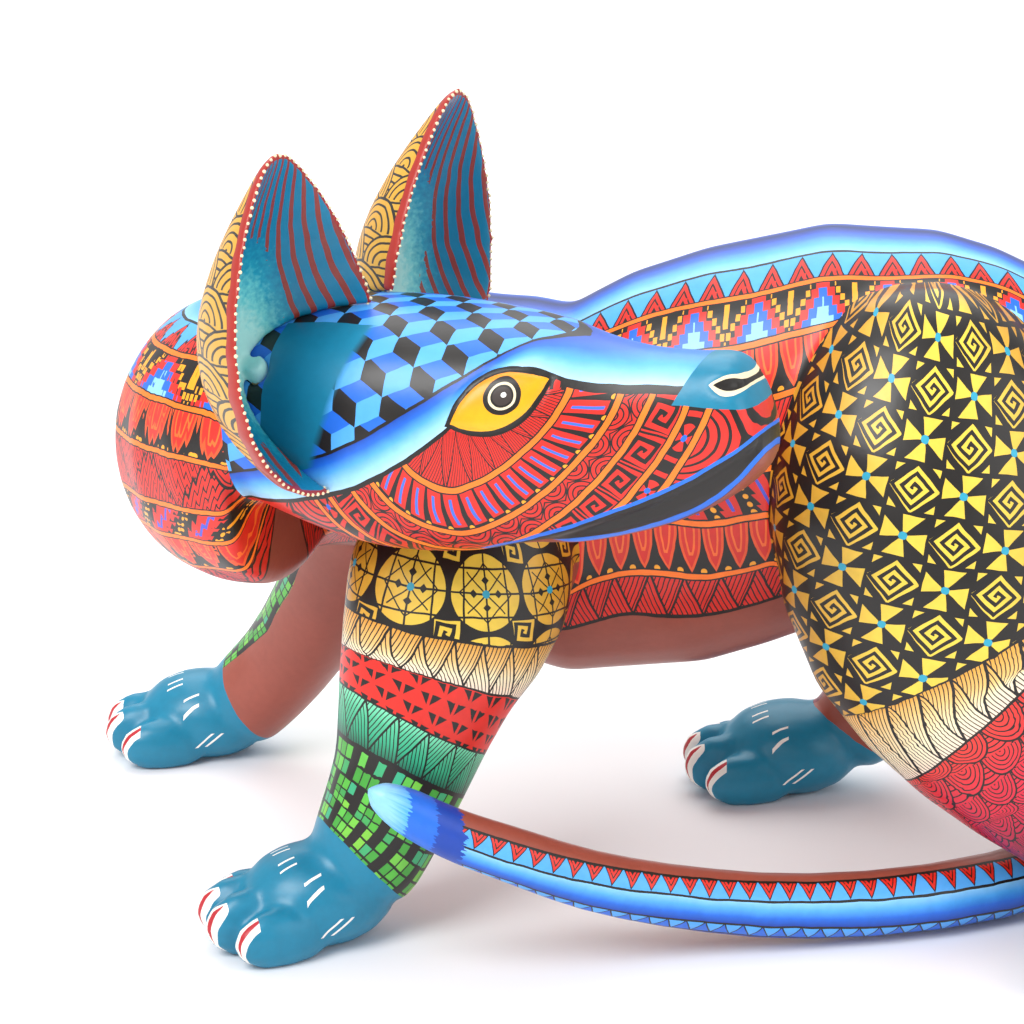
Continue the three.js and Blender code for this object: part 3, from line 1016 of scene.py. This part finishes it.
# %% Draw the head
def cheek_feathers(u, t, height):
    """Red blocks with a blue stroke in each, on black, with an orange dot between their ends."""
    period = 0.52 * height
    x = cell(u - t * (0.2 * height), period)
    paint = over(BLACK, RED, (abs(x) < 0.43 - 0.12 * t) * (t < 0.86))
    stroke = line(x + 0.06 - (t - 0.4) * (t - 0.4) * 0.4, 0, 0.17) * (t > 0.2) * (t < 0.8)
    paint = over(paint, "#3F6FD8", stroke)
    return over(paint, AMBER, dot(abs(x) - 0.5, (t - 0.9) * (1 / 0.52), 0.12))


def flowers(u, t, height):
    """Red four-petalled flowers with blue hearts, between red bars on black."""
    period = 2.4 * height
    x, y = cell(u, period) * 2.4, t - 0.5
    reach = (x * x + y * y).root()
    quarter = y.angle(x) / (math.pi / 2)
    petals = (reach < 0.5) * (abs(quarter - quarter.math("ROUND")) < 0.33)
    bars = line(abs(x), 0.85, 0.2) * (abs(y) < 0.42)
    paint = over(BLACK, RED, petals.high(bars))
    return over(paint, MID_BLUE, reach < 0.13)


def arcs(u, t, height):
    """The middle of the waves, drawn out over a wide band."""
    return waves(u, t * 0.5 + 0.25, height)


CHEEK_BANDS = [
    (29.0, zigzag_hatch, (ORANGE, 1.7)),
    (43.0, cheek_feathers, (ORANGE, 1.7)),
    (51.5, waves, (ORANGE, 1.7)),
    (62.0, greek_key, (ORANGE, 1.7)),
    (68.5, flowers, (ORANGE, 1.7)),
    (86.0, arcs, None),
]


def draw_eye(paint, ahead, height):
    """Yellow almond with a black outline, and a dark pupil with a cream ring and a white glint."""
    c, s = math.cos(EYE_TILT), math.sin(EYE_TILT)
    dx, dz = ahead - EYE_CENTRE[0], height - EYE_CENTRE[1]
    x, z = (dx * c + dz * s) / EYE_HALF[0], (dz * c - dx * s) / EYE_HALF[1]
    rim = abs(z) + x * x
    paint = over(paint, BLACK, rim < 1.24)
    paint = over(paint, blend(z, -1.0, 1.0, ["#F3B21A", YELLOW, "#F08C0A"]), rim < 1.0)
    px, pz = ahead - PUPIL[0], height - PUPIL[1]
    away = (px * px + pz * pz).root()
    paint = over(paint, BLACK, away < 5.0)
    paint = over(paint, CREAM, (away < 3.7) * (away > 3.05))
    paint = over(paint, "#3A302C", away < 2.5)
    return over(paint, WHITE, dot(px - 0.3, pz - 0.4, 0.75))


def draw_nose(paint, ahead, height):
    """Teal nose with a dark nostril outlined in cream."""
    paint = over(paint, TEAL, (ahead + (198.0 - height) * 0.5 > 115.0) * (height > 182.5))
    x, z = (ahead - 122.5) / 5.4, (height - 188.6) / 2.7
    rim = abs(z) + x * x
    paint = over(paint, CREAM, rim < 1.0)
    return over(paint, BLACK, rim < 0.62)


def draw_head(tree):
    """The cheek's bands, then the blue band, crown, ears' feet, eye, nose and mouth over them."""
    u, level, place = measure(tree, "face")
    place = place / BAND_SHARE
    ahead, side, height = measure(tree, "skull")
    above_top, above_low, _ = measure(tree, "lips")
    paint = bands(level, u, 12.0, CHEEK_BANDS, RED)
    crown = tumbling_blocks(ahead, side, 14.5)
    band = blend(place, 0.0, 1.0, ["#A9D6F5", SKY, LIGHT_BLUE, MID_BLUE, DEEP_BLUE])
    paint = over(paint, band, place > 0.0)
    paint = over(paint, crown, place > 1.0)
    paint = over(paint, BLACK, line(place, 1.0, 0.09))
    ear_foot = ((height - 153.0) * 0.31 + 7.0 - ahead) * 0.4 # the ears' teal runs down on to the head
    beside_ear = (abs(side) > 20.0) * (ahead > -9.0) * (place > 0.75)
    paint = over(paint, TEAL, ear_foot.high(0.0).low(1.0) * beside_ear)
    paint = over(paint, BLACK, line(place, -0.06, 0.13).high(line(place, -0.12, 0.24) * (ahead > 78.0)))
    paint = draw_eye(paint, ahead, height)
    paint = draw_nose(paint, ahead, height)
    mouth = ahead > MOUTH_END
    paint = over(paint, BLACK, mouth * (above_top < 0.0))
    paint = over(paint, LIP_BLUE, line(above_top, 0.5, 1.3) * mouth)
    paint = over(paint, LIP_BLUE, line(above_low, -0.6, 1.9) * mouth)
    under = (above_low < -1.7) * mouth
    return over(paint, BROWN, under.high(abs(side) > 101.0))


# The same acrylic in its finest work: the stacked cubes, the staring yellow eye and the blue lip.
head_paint = painted("acrylic blues and reds on copal", draw_head)
head = carved["head"]
for name, measures in (("face", face_measures), ("skull", skull_measures), ("lips", lip_measures)):
    keep_measure(head, name, measures(points_of(head.data)))
head.data.materials.append(head_paint)


# %% [markdown]
# ## The legs
# Rings go round each leg, square to it, and their inner sides stay plain brown. The paws are teal,
# with a white claw on each toe and pairs of short white dashes.

# %% Draw the legs
TOES = ((-15.5, 18), (-5.3, 24), (5.3, 24), (15.5, 18)) # each toe's place across the paw, and how far ahead


def draw_paw(paint, shown, ahead, left, height):
    """Teal paw, white claws with a red heart, and pairs of white dashes."""
    paint = over(paint, TEAL, shown)
    for toe, reach in TOES:
        off = abs(left - toe * (1 - reach / 70) - ahead * (toe / 70) - 1.5)
        t = ((height - 1.5) / 16.0).high(0.0)
        claw = 3.4 * t ** 0.8 * (1.0 - t ** 8.0).high(0.0)
        front = ahead > reach + 9.0
        paint = over(paint, WHITE, (off < claw) * front)
        paint = over(paint, "#B3202C", (off < claw * 0.5 - 0.45) * front)
        dash = line(off, 1.5, 0.7) * line(ahead, reach - 9.0, 5.5) * (height > 12.0)
        paint = over(paint, WHITE, dash)
    slant = height + ahead * 0.9
    flank = line(slant, 11.0, 0.9).high(line(slant, 14.0, 0.9)) * (abs(left) > 9.0)
    return over(paint, WHITE, flank * line(height, 10.0, 5.5))


def height_to_down(node):
    """A function that turns a height on the leg's middle line into distance down the leg."""
    line_points = leg_line(node)
    heights, places = line_points[::-1, 2], np.arange(len(line_points))[::-1] * LEG_STEP
    return lambda height: float(np.interp(height, heights, places))


def zigzag_cream(u, t, height):
    """Zigzag hatching on a ground that runs from ochre to cream."""
    ground = blend(t, 0.0, 1.0, ["#D9982F", "#EDBE74", CREAM, "#F3D9C4"])
    return zigzag_hatch(u, t, height, ground, 0.62)


def zigzag_sea(u, t, height):
    """Zigzag hatching on a ground that runs from pale to dark sea green."""
    ground = blend(t, 0.0, 1.0, ["#7AD8AE", "#4DB88C", SEA, "#145A45"])
    return zigzag_hatch(u, t, height, ground, 0.85)


# For each leg: the height of its first ring, the height where each ring ends with its pattern
# (None is the broken triangles), and whether green squares or red scales fill the rest.
RINGS = {
    "left_foreleg": (95, [(79, zigzag_cream), (65, None), (53, zigzag_sea)], True),
    "right_foreleg": (95, [(80, zigzag_cream)], True),
    "left_hind_leg": (86, [(70, zigzag_cream)], False),
    "right_hind_leg": (86, [(72, zigzag_cream)], False),
}


def draw_leg(tree, node):
    """The rings of one leg, from the shoulder or the haunch down to the paw."""
    down, u, facing = measure(tree, "leg")
    facing = facing / FACING
    round_thigh, drop, _ = measure(tree, "thigh")
    ahead, left, height = measure(tree, "paw")
    at = height_to_down(node)
    # Painted shade: the gold darkens to ochre as the leg's surface turns away from its outer side.
    gold = blend(facing, 0.1, 0.9, [SHADED_GOLD, "#D9A838", GOLD])
    first, rings, has_squares = RINGS[node]
    if "hind" in node:
        turned_u, turned_v = round_thigh * 0.985 + drop * 0.174, drop * 0.985 - round_thigh * 0.174
        paint = diamonds(turned_u, turned_v, 13.5, gold)
    elif node == "left_foreleg":
        paint = medallions(round_thigh + 4.0, drop + 122.0 - round_thigh * 0.1, 23.0, gold)
    else:
        paint = medallions(round_thigh, drop, 23.0, gold)
    low = at(first)
    for far, pattern in rings:
        high = at(far)
        t = (down - low) / (high - low)
        drawn = pattern(u, t, high - low) if pattern else broken_triangles(u, down, 4.6)
        paint = over(paint, drawn, down > low)
        paint = over(paint, BLACK, line(down, low, 0.7))
        low = high
    if has_squares:
        paint = over(paint, little_squares(u, down, 4.1), down > low)
    else:
        reds = blend(down, low, at(30), ["#E0352A", "#D01F35", CRIMSON, "#8F0E35"])
        paint = over(paint, scales(u, down - low, 17.0, reds), down > low)
    paint = over(paint, BLACK, line(down, low, 0.8))
    hidden = facing < -0.12
    if node == "right_foreleg":
        hidden = hidden * (u > 0.0) + (facing < -0.66) * (u < 0.0)
    paint = over(paint, BROWN, hidden * (drop > -110.0))
    return draw_paw(paint, down > at(27), ahead, left, height)


# The same acrylic, one material for each leg: gold figures on black, with the flat teal paws below, and
# painted shade that turns the gold ochre where the leg turns away from its outer side.
for node in ("left_foreleg", "right_foreleg", "left_hind_leg", "right_hind_leg"):
    piece = carved[node]
    for name, measures in (("leg", leg_measures), ("thigh", thigh_measures), ("paw", paw_measures)):
        keep_measure(piece, name, measures(points_of(piece.data), node))
    piece.data.materials.append(painted("acrylic rings on copal, " + node, lambda tree: draw_leg(tree, node)))


# %% [markdown]
# ## The ears and the tail
# These come off the figure: each has a bare wooden tenon that pushes into a bore. An ear is a thin
# bowl, ochre behind with black scales, teal inside with red-brown hairs that run in from the rim.

# %% Shape the loose pieces
# Side, half width, depth of the bowl, turn, lean, roll, and how far up and ahead of its usual place.
EARS = {"right_ear": (-1, 32, 30, 9, -6, 4, 0, 5), "left_ear": (1, 28, 24, -6, 2, 6, 6, 12)}
EAR_LENGTH = 49.0 # half of it
LOOSE_VOXEL = 0.8 * MM


def ear_frame(node):
    """Turns millimetres in the ear's own leaf shape into metres in the part's frame."""
    side, _, _, turn, lean, roll, lift, ahead = EARS[node]
    stand = Matrix(((0, 0, 1, 0), (1, 0, 0, 0), (0, 1, 0, 0), (0, 0, 0, 1)))
    head_frame = Matrix.Translation(skull) @ Matrix.Rotation(MUZZLE_TURN, 4, "Z") @ Matrix.Scale(MM, 4)
    place = Matrix.Translation((2 + ahead, side * 38, 200 + lift))
    spin = Matrix.Rotation(side * math.radians(turn), 4, "Z")
    tip = Matrix.Rotation(math.atan2(lean, EAR_LENGTH), 4, "Y")
    tilt = Matrix.Rotation(-side * math.radians(roll), 4, "X")
    return head_frame @ place @ spin @ tip @ tilt @ stand


def ear_width(node, share):
    """The leaf's half width before its ends round in: it narrows towards the tip."""
    return EARS[node][1] * (1 - 0.3 * share - 0.12 * share ** 2)


def ear_measures(points, node):
    """Across and along the leaf, as shares of its half sizes, and depth in front of its middle layer."""
    back = np.array(ear_frame(node).inverted())
    flat = points @ back[:3, :3].T + back[:3, 3]
    share = np.clip(flat[:, 1] / EAR_LENGTH, -1.1, 1.05)
    across = flat[:, 0] / ear_width(node, share)
    bowl = EARS[node][2] * np.clip(1 - across ** 2 - share ** 2, 0, 1) * (1 - 0.35 * share)
    return np.stack([across, share, flat[:, 2] + bowl], axis=1)


def loose_piece(node):
    """An ear or the tail, sanded like the body but whole."""
    mesh = fused(node, [node], LOOSE_VOXEL, 0.05 * MM)
    sand(mesh, 14, 1.0)
    mesh.polygons.foreach_set("use_smooth", [True] * len(mesh.polygons))
    carved[node] = as_object("carved_" + node, mesh)
    return carved[node]


SHARE = 40.0 # a share of 1 is drawn as 40 units, so that the hand's wobble suits it


def draw_ear(tree):
    """Ochre scales behind, a light bowl with hairs running in from the rim, and a red edge."""
    across, along_leaf, depth = measure(tree, "leaf")
    across, along_leaf = across / SHARE, along_leaf / SHARE
    reach = (across * across + along_leaf * along_leaf).root()
    x, y = across * 29.0, along_leaf * EAR_LENGTH
    coords = add(tree, "ShaderNodeTexCoord").outputs["Object"]
    speckle = Term(tree, add(tree, "ShaderNodeTexNoise", {"Vector": coords, "Scale": 700.0}).outputs[0])
    ochre = blend(x, -29.0, 12.0, ["#C79A2C", "#D9A02A", "#E58A22", "#E9922C"])
    behind = scales(x, y + 60.0, 19.0, ochre, 2.3)
    low, right = along_leaf + 0.22, across - 0.12
    hollow = (right * right * 2.9 + low * low * 1.3).root()
    glow = blend(hollow + speckle * 0.4, 0.42, 1.02, ["#A8E2DA", "#6CCBCB", "#1F9AB2", "#0B7B9E"])
    hanging = stripes(x + y * 0.2, 3.1, 0.36)
    fanned = stripes((y - 4.0).angle(x - 6.0) * 20.0, 3.0, 0.38)
    low_left = (y * 0.9 + x * 1.6 + 14.0) < 0.0
    hair = fanned * low_left + hanging * (1.0 - low_left)
    start = 0.42 + 0.2 * low_left + speckle * 0.16
    bare = (along_leaf - across * 0.5) < -0.78
    inside = over(glow, "#93382E", hair * (reach > start) * (1.0 - bare))
    paint = over(behind, inside, depth > 0.0)
    rim = (reach > 0.955) * (depth > -2.2)
    return over(paint, "#A3291F", rim)


# The same acrylic on thin wood: the pale blurred bowl makes the ear look hollow and soft.
ear_paint = painted("acrylic on a carved ear", draw_ear)
for name in EARS:
    piece = loose_piece(name)
    values = ear_measures(points_of(piece.data), name)
    values[:, :2] *= SHARE
    keep_measure(piece, "leaf", values)
    piece.data.materials.append(ear_paint)


# %% The tail's own measures and paint
TAIL_LINE = [(188, 18, 138), (202, 18, 124), (212, 17, 102), (214, 14, 72), (208, 6, 42), (193, -7, 21),
             (168, -27, 12.2), (128, -46, 11), (88, -55, 12), (55, -62, 17.5), (25, -71, 27),
             (0, -79, 39), (-20, -85, 49.5), (-42, -89, 64)]
TAIL_STEP = 1.5


def tail_measures(points):
    """Distance back from the tip, distance round from the side that faces out, both in millimetres."""
    path = spaced(np.array(TAIL_LINE) + np.array((*SHIFT, 0)), TAIL_STEP)
    place, offset, heading = along(points / MM, path, TAIL_STEP)
    outwards = path - np.array((SHIFT[0] + 60, SHIFT[1] + 20, 0))
    outwards[:, 2] = 0
    outwards = outwards[nearest(points / MM, path)]
    outwards -= heading * (outwards * heading).sum(axis=1)[:, None]
    outwards /= np.linalg.norm(outwards, axis=1)[:, None]
    upwards = np.cross(heading, outwards)
    turn = np.arctan2((offset * upwards).sum(axis=1), (offset * outwards).sum(axis=1))
    return np.stack([len(path) * TAIL_STEP - place, turn * 10, np.zeros(len(points))], axis=1)


def draw_tail(tree):
    """Red triangles above, a graded blue stripe that faces out, small peaks below, and a blue tip."""
    back, turn, _ = measure(tree, "tail")
    paint = over(BROWN, spiral_triangles(back, (turn - 4.3) / 7.2, 9.0), (turn > 4.3) * (turn < 11.5))
    stripe = blend(turn, -4.0, 4.3, [DEEP_BLUE, MID_BLUE, LIGHT_BLUE, SKY])
    paint = over(paint, stripe, abs(turn) < 4.3)
    drop, peak = (turn * -1.0 - 4.3) / 5.5, peaks(back, 6.0)
    lower = over(MID_BLUE, LIGHT_BLUE, drop < peak)
    lower = over(lower, BLACK, line(drop, peak, 0.16))
    paint = over(paint, lower, (turn < -4.3) * (turn > -9.8))
    paint = over(paint, DEEP_BLUE, (turn < -9.8) * (turn > -15.5))
    for place in (-9.8, -4.3, 4.3, 11.5):
        paint = over(paint, BLACK, line(turn, place, 0.8))
    streak = add(tree, "ShaderNodeCombineXYZ", {0: turn * 0.9, 1: back * 0.05}).outputs[0]
    noise = add(tree, "ShaderNodeTexNoise", {"Vector": streak, "Scale": 1.0, "Detail": 2.0})
    ragged = Term(tree, noise.outputs[0])
    edge = back + (ragged - 0.5) * 6.0 + turn * 0.25
    paint = over(paint, DEEP_BLUE, edge < 34.0)
    paint = over(paint, MID_BLUE, edge < 25.0)
    tip = blend(edge + ragged * 8.0, 2.0, 20.0, [LIGHT_BLUE, SKY, SKY, LIGHT_BLUE])
    return over(paint, tip, edge < 16.0)


tail = loose_piece("tail")
keep_measure(tail, "tail", tail_measures(points_of(tail.data)))
# The same acrylic in long strokes, dragged out dry towards the tip.
tail.data.materials.append(painted("acrylic blues on a carved tail", draw_tail))
print("loose pieces:", {name: len(carved[name].data.polygons) for name in (*EARS, "tail")})


# %% [markdown]
# ## Dots along the ears
# The rim of each ear carries a row of cream dots, set down with the end of a stick so that each is
# a small dome of paint. A Geometry Nodes tree walks the rim and places them at a steady spacing.

# %% A tree that sets dots along a line
def rim_line(node):
    """The rim of an ear, moved onto its sanded surface."""
    tree = BVHTree.FromPolygons([v.co for v in carved[node].data.vertices],
                                [tuple(p.vertices) for p in carved[node].data.polygons])
    frame_of_ear = ear_frame(node)
    ring = []
    for i in range(240):
        turn = 2 * math.pi * i / 240
        share = math.sin(turn)
        spot = frame_of_ear @ Vector((math.cos(turn) * ear_width(node, share), share * EAR_LENGTH, 2.5))
        ring.append(tree.find_nearest(spot)[0])
    mesh = bpy.data.meshes.new(node + " rim")
    mesh.from_pydata(ring, [(i, (i + 1) % 240) for i in range(240)], [])
    return mesh


def dot_tree():
    """Geometry Nodes: small domes at a steady spacing along a closed line of edges."""
    tree = bpy.data.node_groups.new("dots on a rim", "GeometryNodeTree")
    inputs = {"Line": "Geometry", "Spacing": "Float", "Radius": "Float", "Paint": "Material"}
    for name, kind in inputs.items():
        tree.interface.new_socket(name, in_out="INPUT", socket_type="NodeSocket" + kind)
    tree.interface.new_socket("Dots", in_out="OUTPUT", socket_type="NodeSocketGeometry")
    given = add(tree, "NodeGroupInput").outputs
    curve = add(tree, "GeometryNodeMeshToCurve", {"Mesh": given["Line"]}).outputs[0]
    spread = {"Curve": curve, "Length": given["Spacing"]}
    steady = add(tree, "GeometryNodeResampleCurve", spread, mode="LENGTH")
    dome = add(tree, "GeometryNodeMeshUVSphere", {"Segments": 8, "Rings": 5, "Radius": given["Radius"]})
    size = add(tree, "FunctionNodeRandomValue", {"Min": 0.8, "Max": 1.15, "Seed": 4}, data_type="FLOAT")
    placed = {"Points": steady.outputs[0], "Instance": dome.outputs[0], "Scale": size.outputs["Value"]}
    many = add(tree, "GeometryNodeInstanceOnPoints", placed).outputs[0]
    real = add(tree, "GeometryNodeRealizeInstances", {"Geometry": many}).outputs[0]
    soft = add(tree, "GeometryNodeSetShadeSmooth", {"Geometry": real}).outputs[0]
    done = add(tree, "GeometryNodeSetMaterial", {"Geometry": soft, "Material": given["Paint"]}).outputs[0]
    add(tree, "NodeGroupOutput", {"Dots": done})
    return tree


def grown(name, mesh, tree, values):
    """Runs a Geometry Nodes tree on a mesh and returns the plain mesh object that it makes."""
    seed = as_object(name + " seed", mesh)
    modifier = seed.modifiers.new("grow", "NODES")
    modifier.node_group = tree
    for socket in tree.interface.items_tree:
        if getattr(socket, "in_out", "") == "INPUT" and socket.name in values:
            modifier[socket.identifier] = values[socket.name]
    bpy.context.view_layer.update()
    graph = bpy.context.evaluated_depsgraph_get()
    plain_mesh = bpy.data.meshes.new_from_object(seed.evaluated_get(graph))
    bpy.data.objects.remove(seed)
    return as_object(name, plain_mesh)


# %% Set the dots
# Thick cream acrylic, a little uneven in tone: a bright beaded edge that draws the ear's outline.
dot_paint = painted("cream acrylic dots", lambda tree: over(CREAM, "#E9D7AE", Term(
    tree, add(tree, "ShaderNodeTexNoise", {"Scale": 300.0}).outputs[0])))
rim_dots = {}
for name in EARS:
    values = {"Spacing": 2.3 * MM, "Radius": 0.52 * MM, "Paint": dot_paint}
    rim_dots[name] = grown("dots_" + name, rim_line(name), dot_tree(), values)
    print("dots on", name + ":", len(rim_dots[name].data.polygons) // 40)


# %% [markdown]
# ## Bare wood
# The dowels and the tenons are never painted. Turned hardwood shows fine straight grain.

# %% Wood for the dowels and the ears' and tail's tenons
def bare_wood():
    """Dry turned hardwood, matt and finely grained: all of the figure that has no paint."""
    material = bpy.data.materials.new("bare turned hardwood")
    material.use_nodes = True
    tree = material.node_tree
    coords = add(tree, "ShaderNodeTexCoord").outputs["Object"]
    fine = {"Vector": coords, "Scale": 260.0, "Detail": 5.0, "Distortion": 1.2}
    grain = add(tree, "ShaderNodeTexNoise", fine).outputs[0]
    shader = tree.nodes["Principled BSDF"]
    relief = add(tree, "ShaderNodeBump", {"Height": grain, "Strength": 0.2, "Distance": 0.2 * MM})
    tree.links.new(ramped(tree, grain, ["#B98A55", "#E0BE8C"]), shader.inputs["Base Color"])
    tree.links.new(relief.outputs[0], shader.inputs["Normal"])
    shader.inputs["Roughness"].default_value = 0.7
    return material


wood = bare_wood()
dowels = sorted(name for name in blocks if "_dowel_" in name)
for name in dowels:
    blocks[name].data.materials.clear()
    blocks[name].data.materials.append(wood)


def bare_tenon(piece, mouth, axis, radius):
    """Gives the faces of a tenon the wood's material."""
    piece.data.materials.append(wood)
    offset = read(piece.data.polygons, "center", 3) / MM - np.array(mouth)
    depth = offset @ np.array(axis)
    away = np.linalg.norm(offset - depth[:, None] * np.array(axis), axis=1)
    piece.data.polygons.foreach_set("material_index", ((away < radius) & (depth < -3)).astype(np.int32))


def in_head(x, y, z):
    """A head-local place in millimetres, in the part's frame."""
    flat = Vector((skull.x, skull.y, 0)) / MM + forward * x + Vector((-forward.y, forward.x, 0)) * y
    return flat + Vector((0, 0, z))


for name, (side, *_) in EARS.items():
    axis = (in_head(-0.12, side * 0.52, 0.85) - in_head(0, 0, 0)).normalized()
    bare_tenon(carved[name], in_head(-13, side * 30.5, 184), axis, 3.9)
bare_tenon(tail, (203 + SHIFT[0], 17 + SHIFT[1], 124), Vector((0.98, 0, 0.2)).normalized(), 5.5)


# %% [markdown]
# ## Floor and the pieces' bodies
# The figure stands on a pale sheet. Each carved piece replaces its block of the frame and moves
# with the same body: the glued blocks with the root, each ear and the tail with its own.

# %% Floor
bpy.ops.mesh.primitive_plane_add(size=12)
floor = bpy.context.object
floor.name = "pale sheet"
floor.location.z = -0.2 * MM
# Matt white paper, very slightly mottled, so that the ground reads as clean but not as nothing.
sheet_paint = bpy.data.materials.new("matt white paper sheet")
sheet_paint.use_nodes = True
sheet_tree = sheet_paint.node_tree
sheet_noise = add(sheet_tree, "ShaderNodeTexNoise", {"Scale": 40.0, "Detail": 3.0})
sheet_tone = ramped(sheet_tree, sheet_noise.outputs[0], ["#F3F3F5", "#F8F8FA"])
sheet_shader = sheet_tree.nodes["Principled BSDF"]
sheet_tree.links.new(sheet_tone, sheet_shader.inputs["Base Color"])
sheet_shader.inputs["Roughness"].default_value = 0.65
floor.data.materials.append(sheet_paint)

# %% Ride and replace
BODIES = {"right_ear": "right_ear", "left_ear": "left_ear", "tail": "tail"}
for name, piece in carved.items():
    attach(piece, BODIES.get(name, "root"))
    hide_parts(name)
for name, piece in rim_dots.items():
    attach(piece, name)

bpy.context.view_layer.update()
pieces = (*carved.values(), *rim_dots.values())
print("triangles:", sum(len(p.data.loops) - 2 * len(p.data.polygons) for p in pieces))
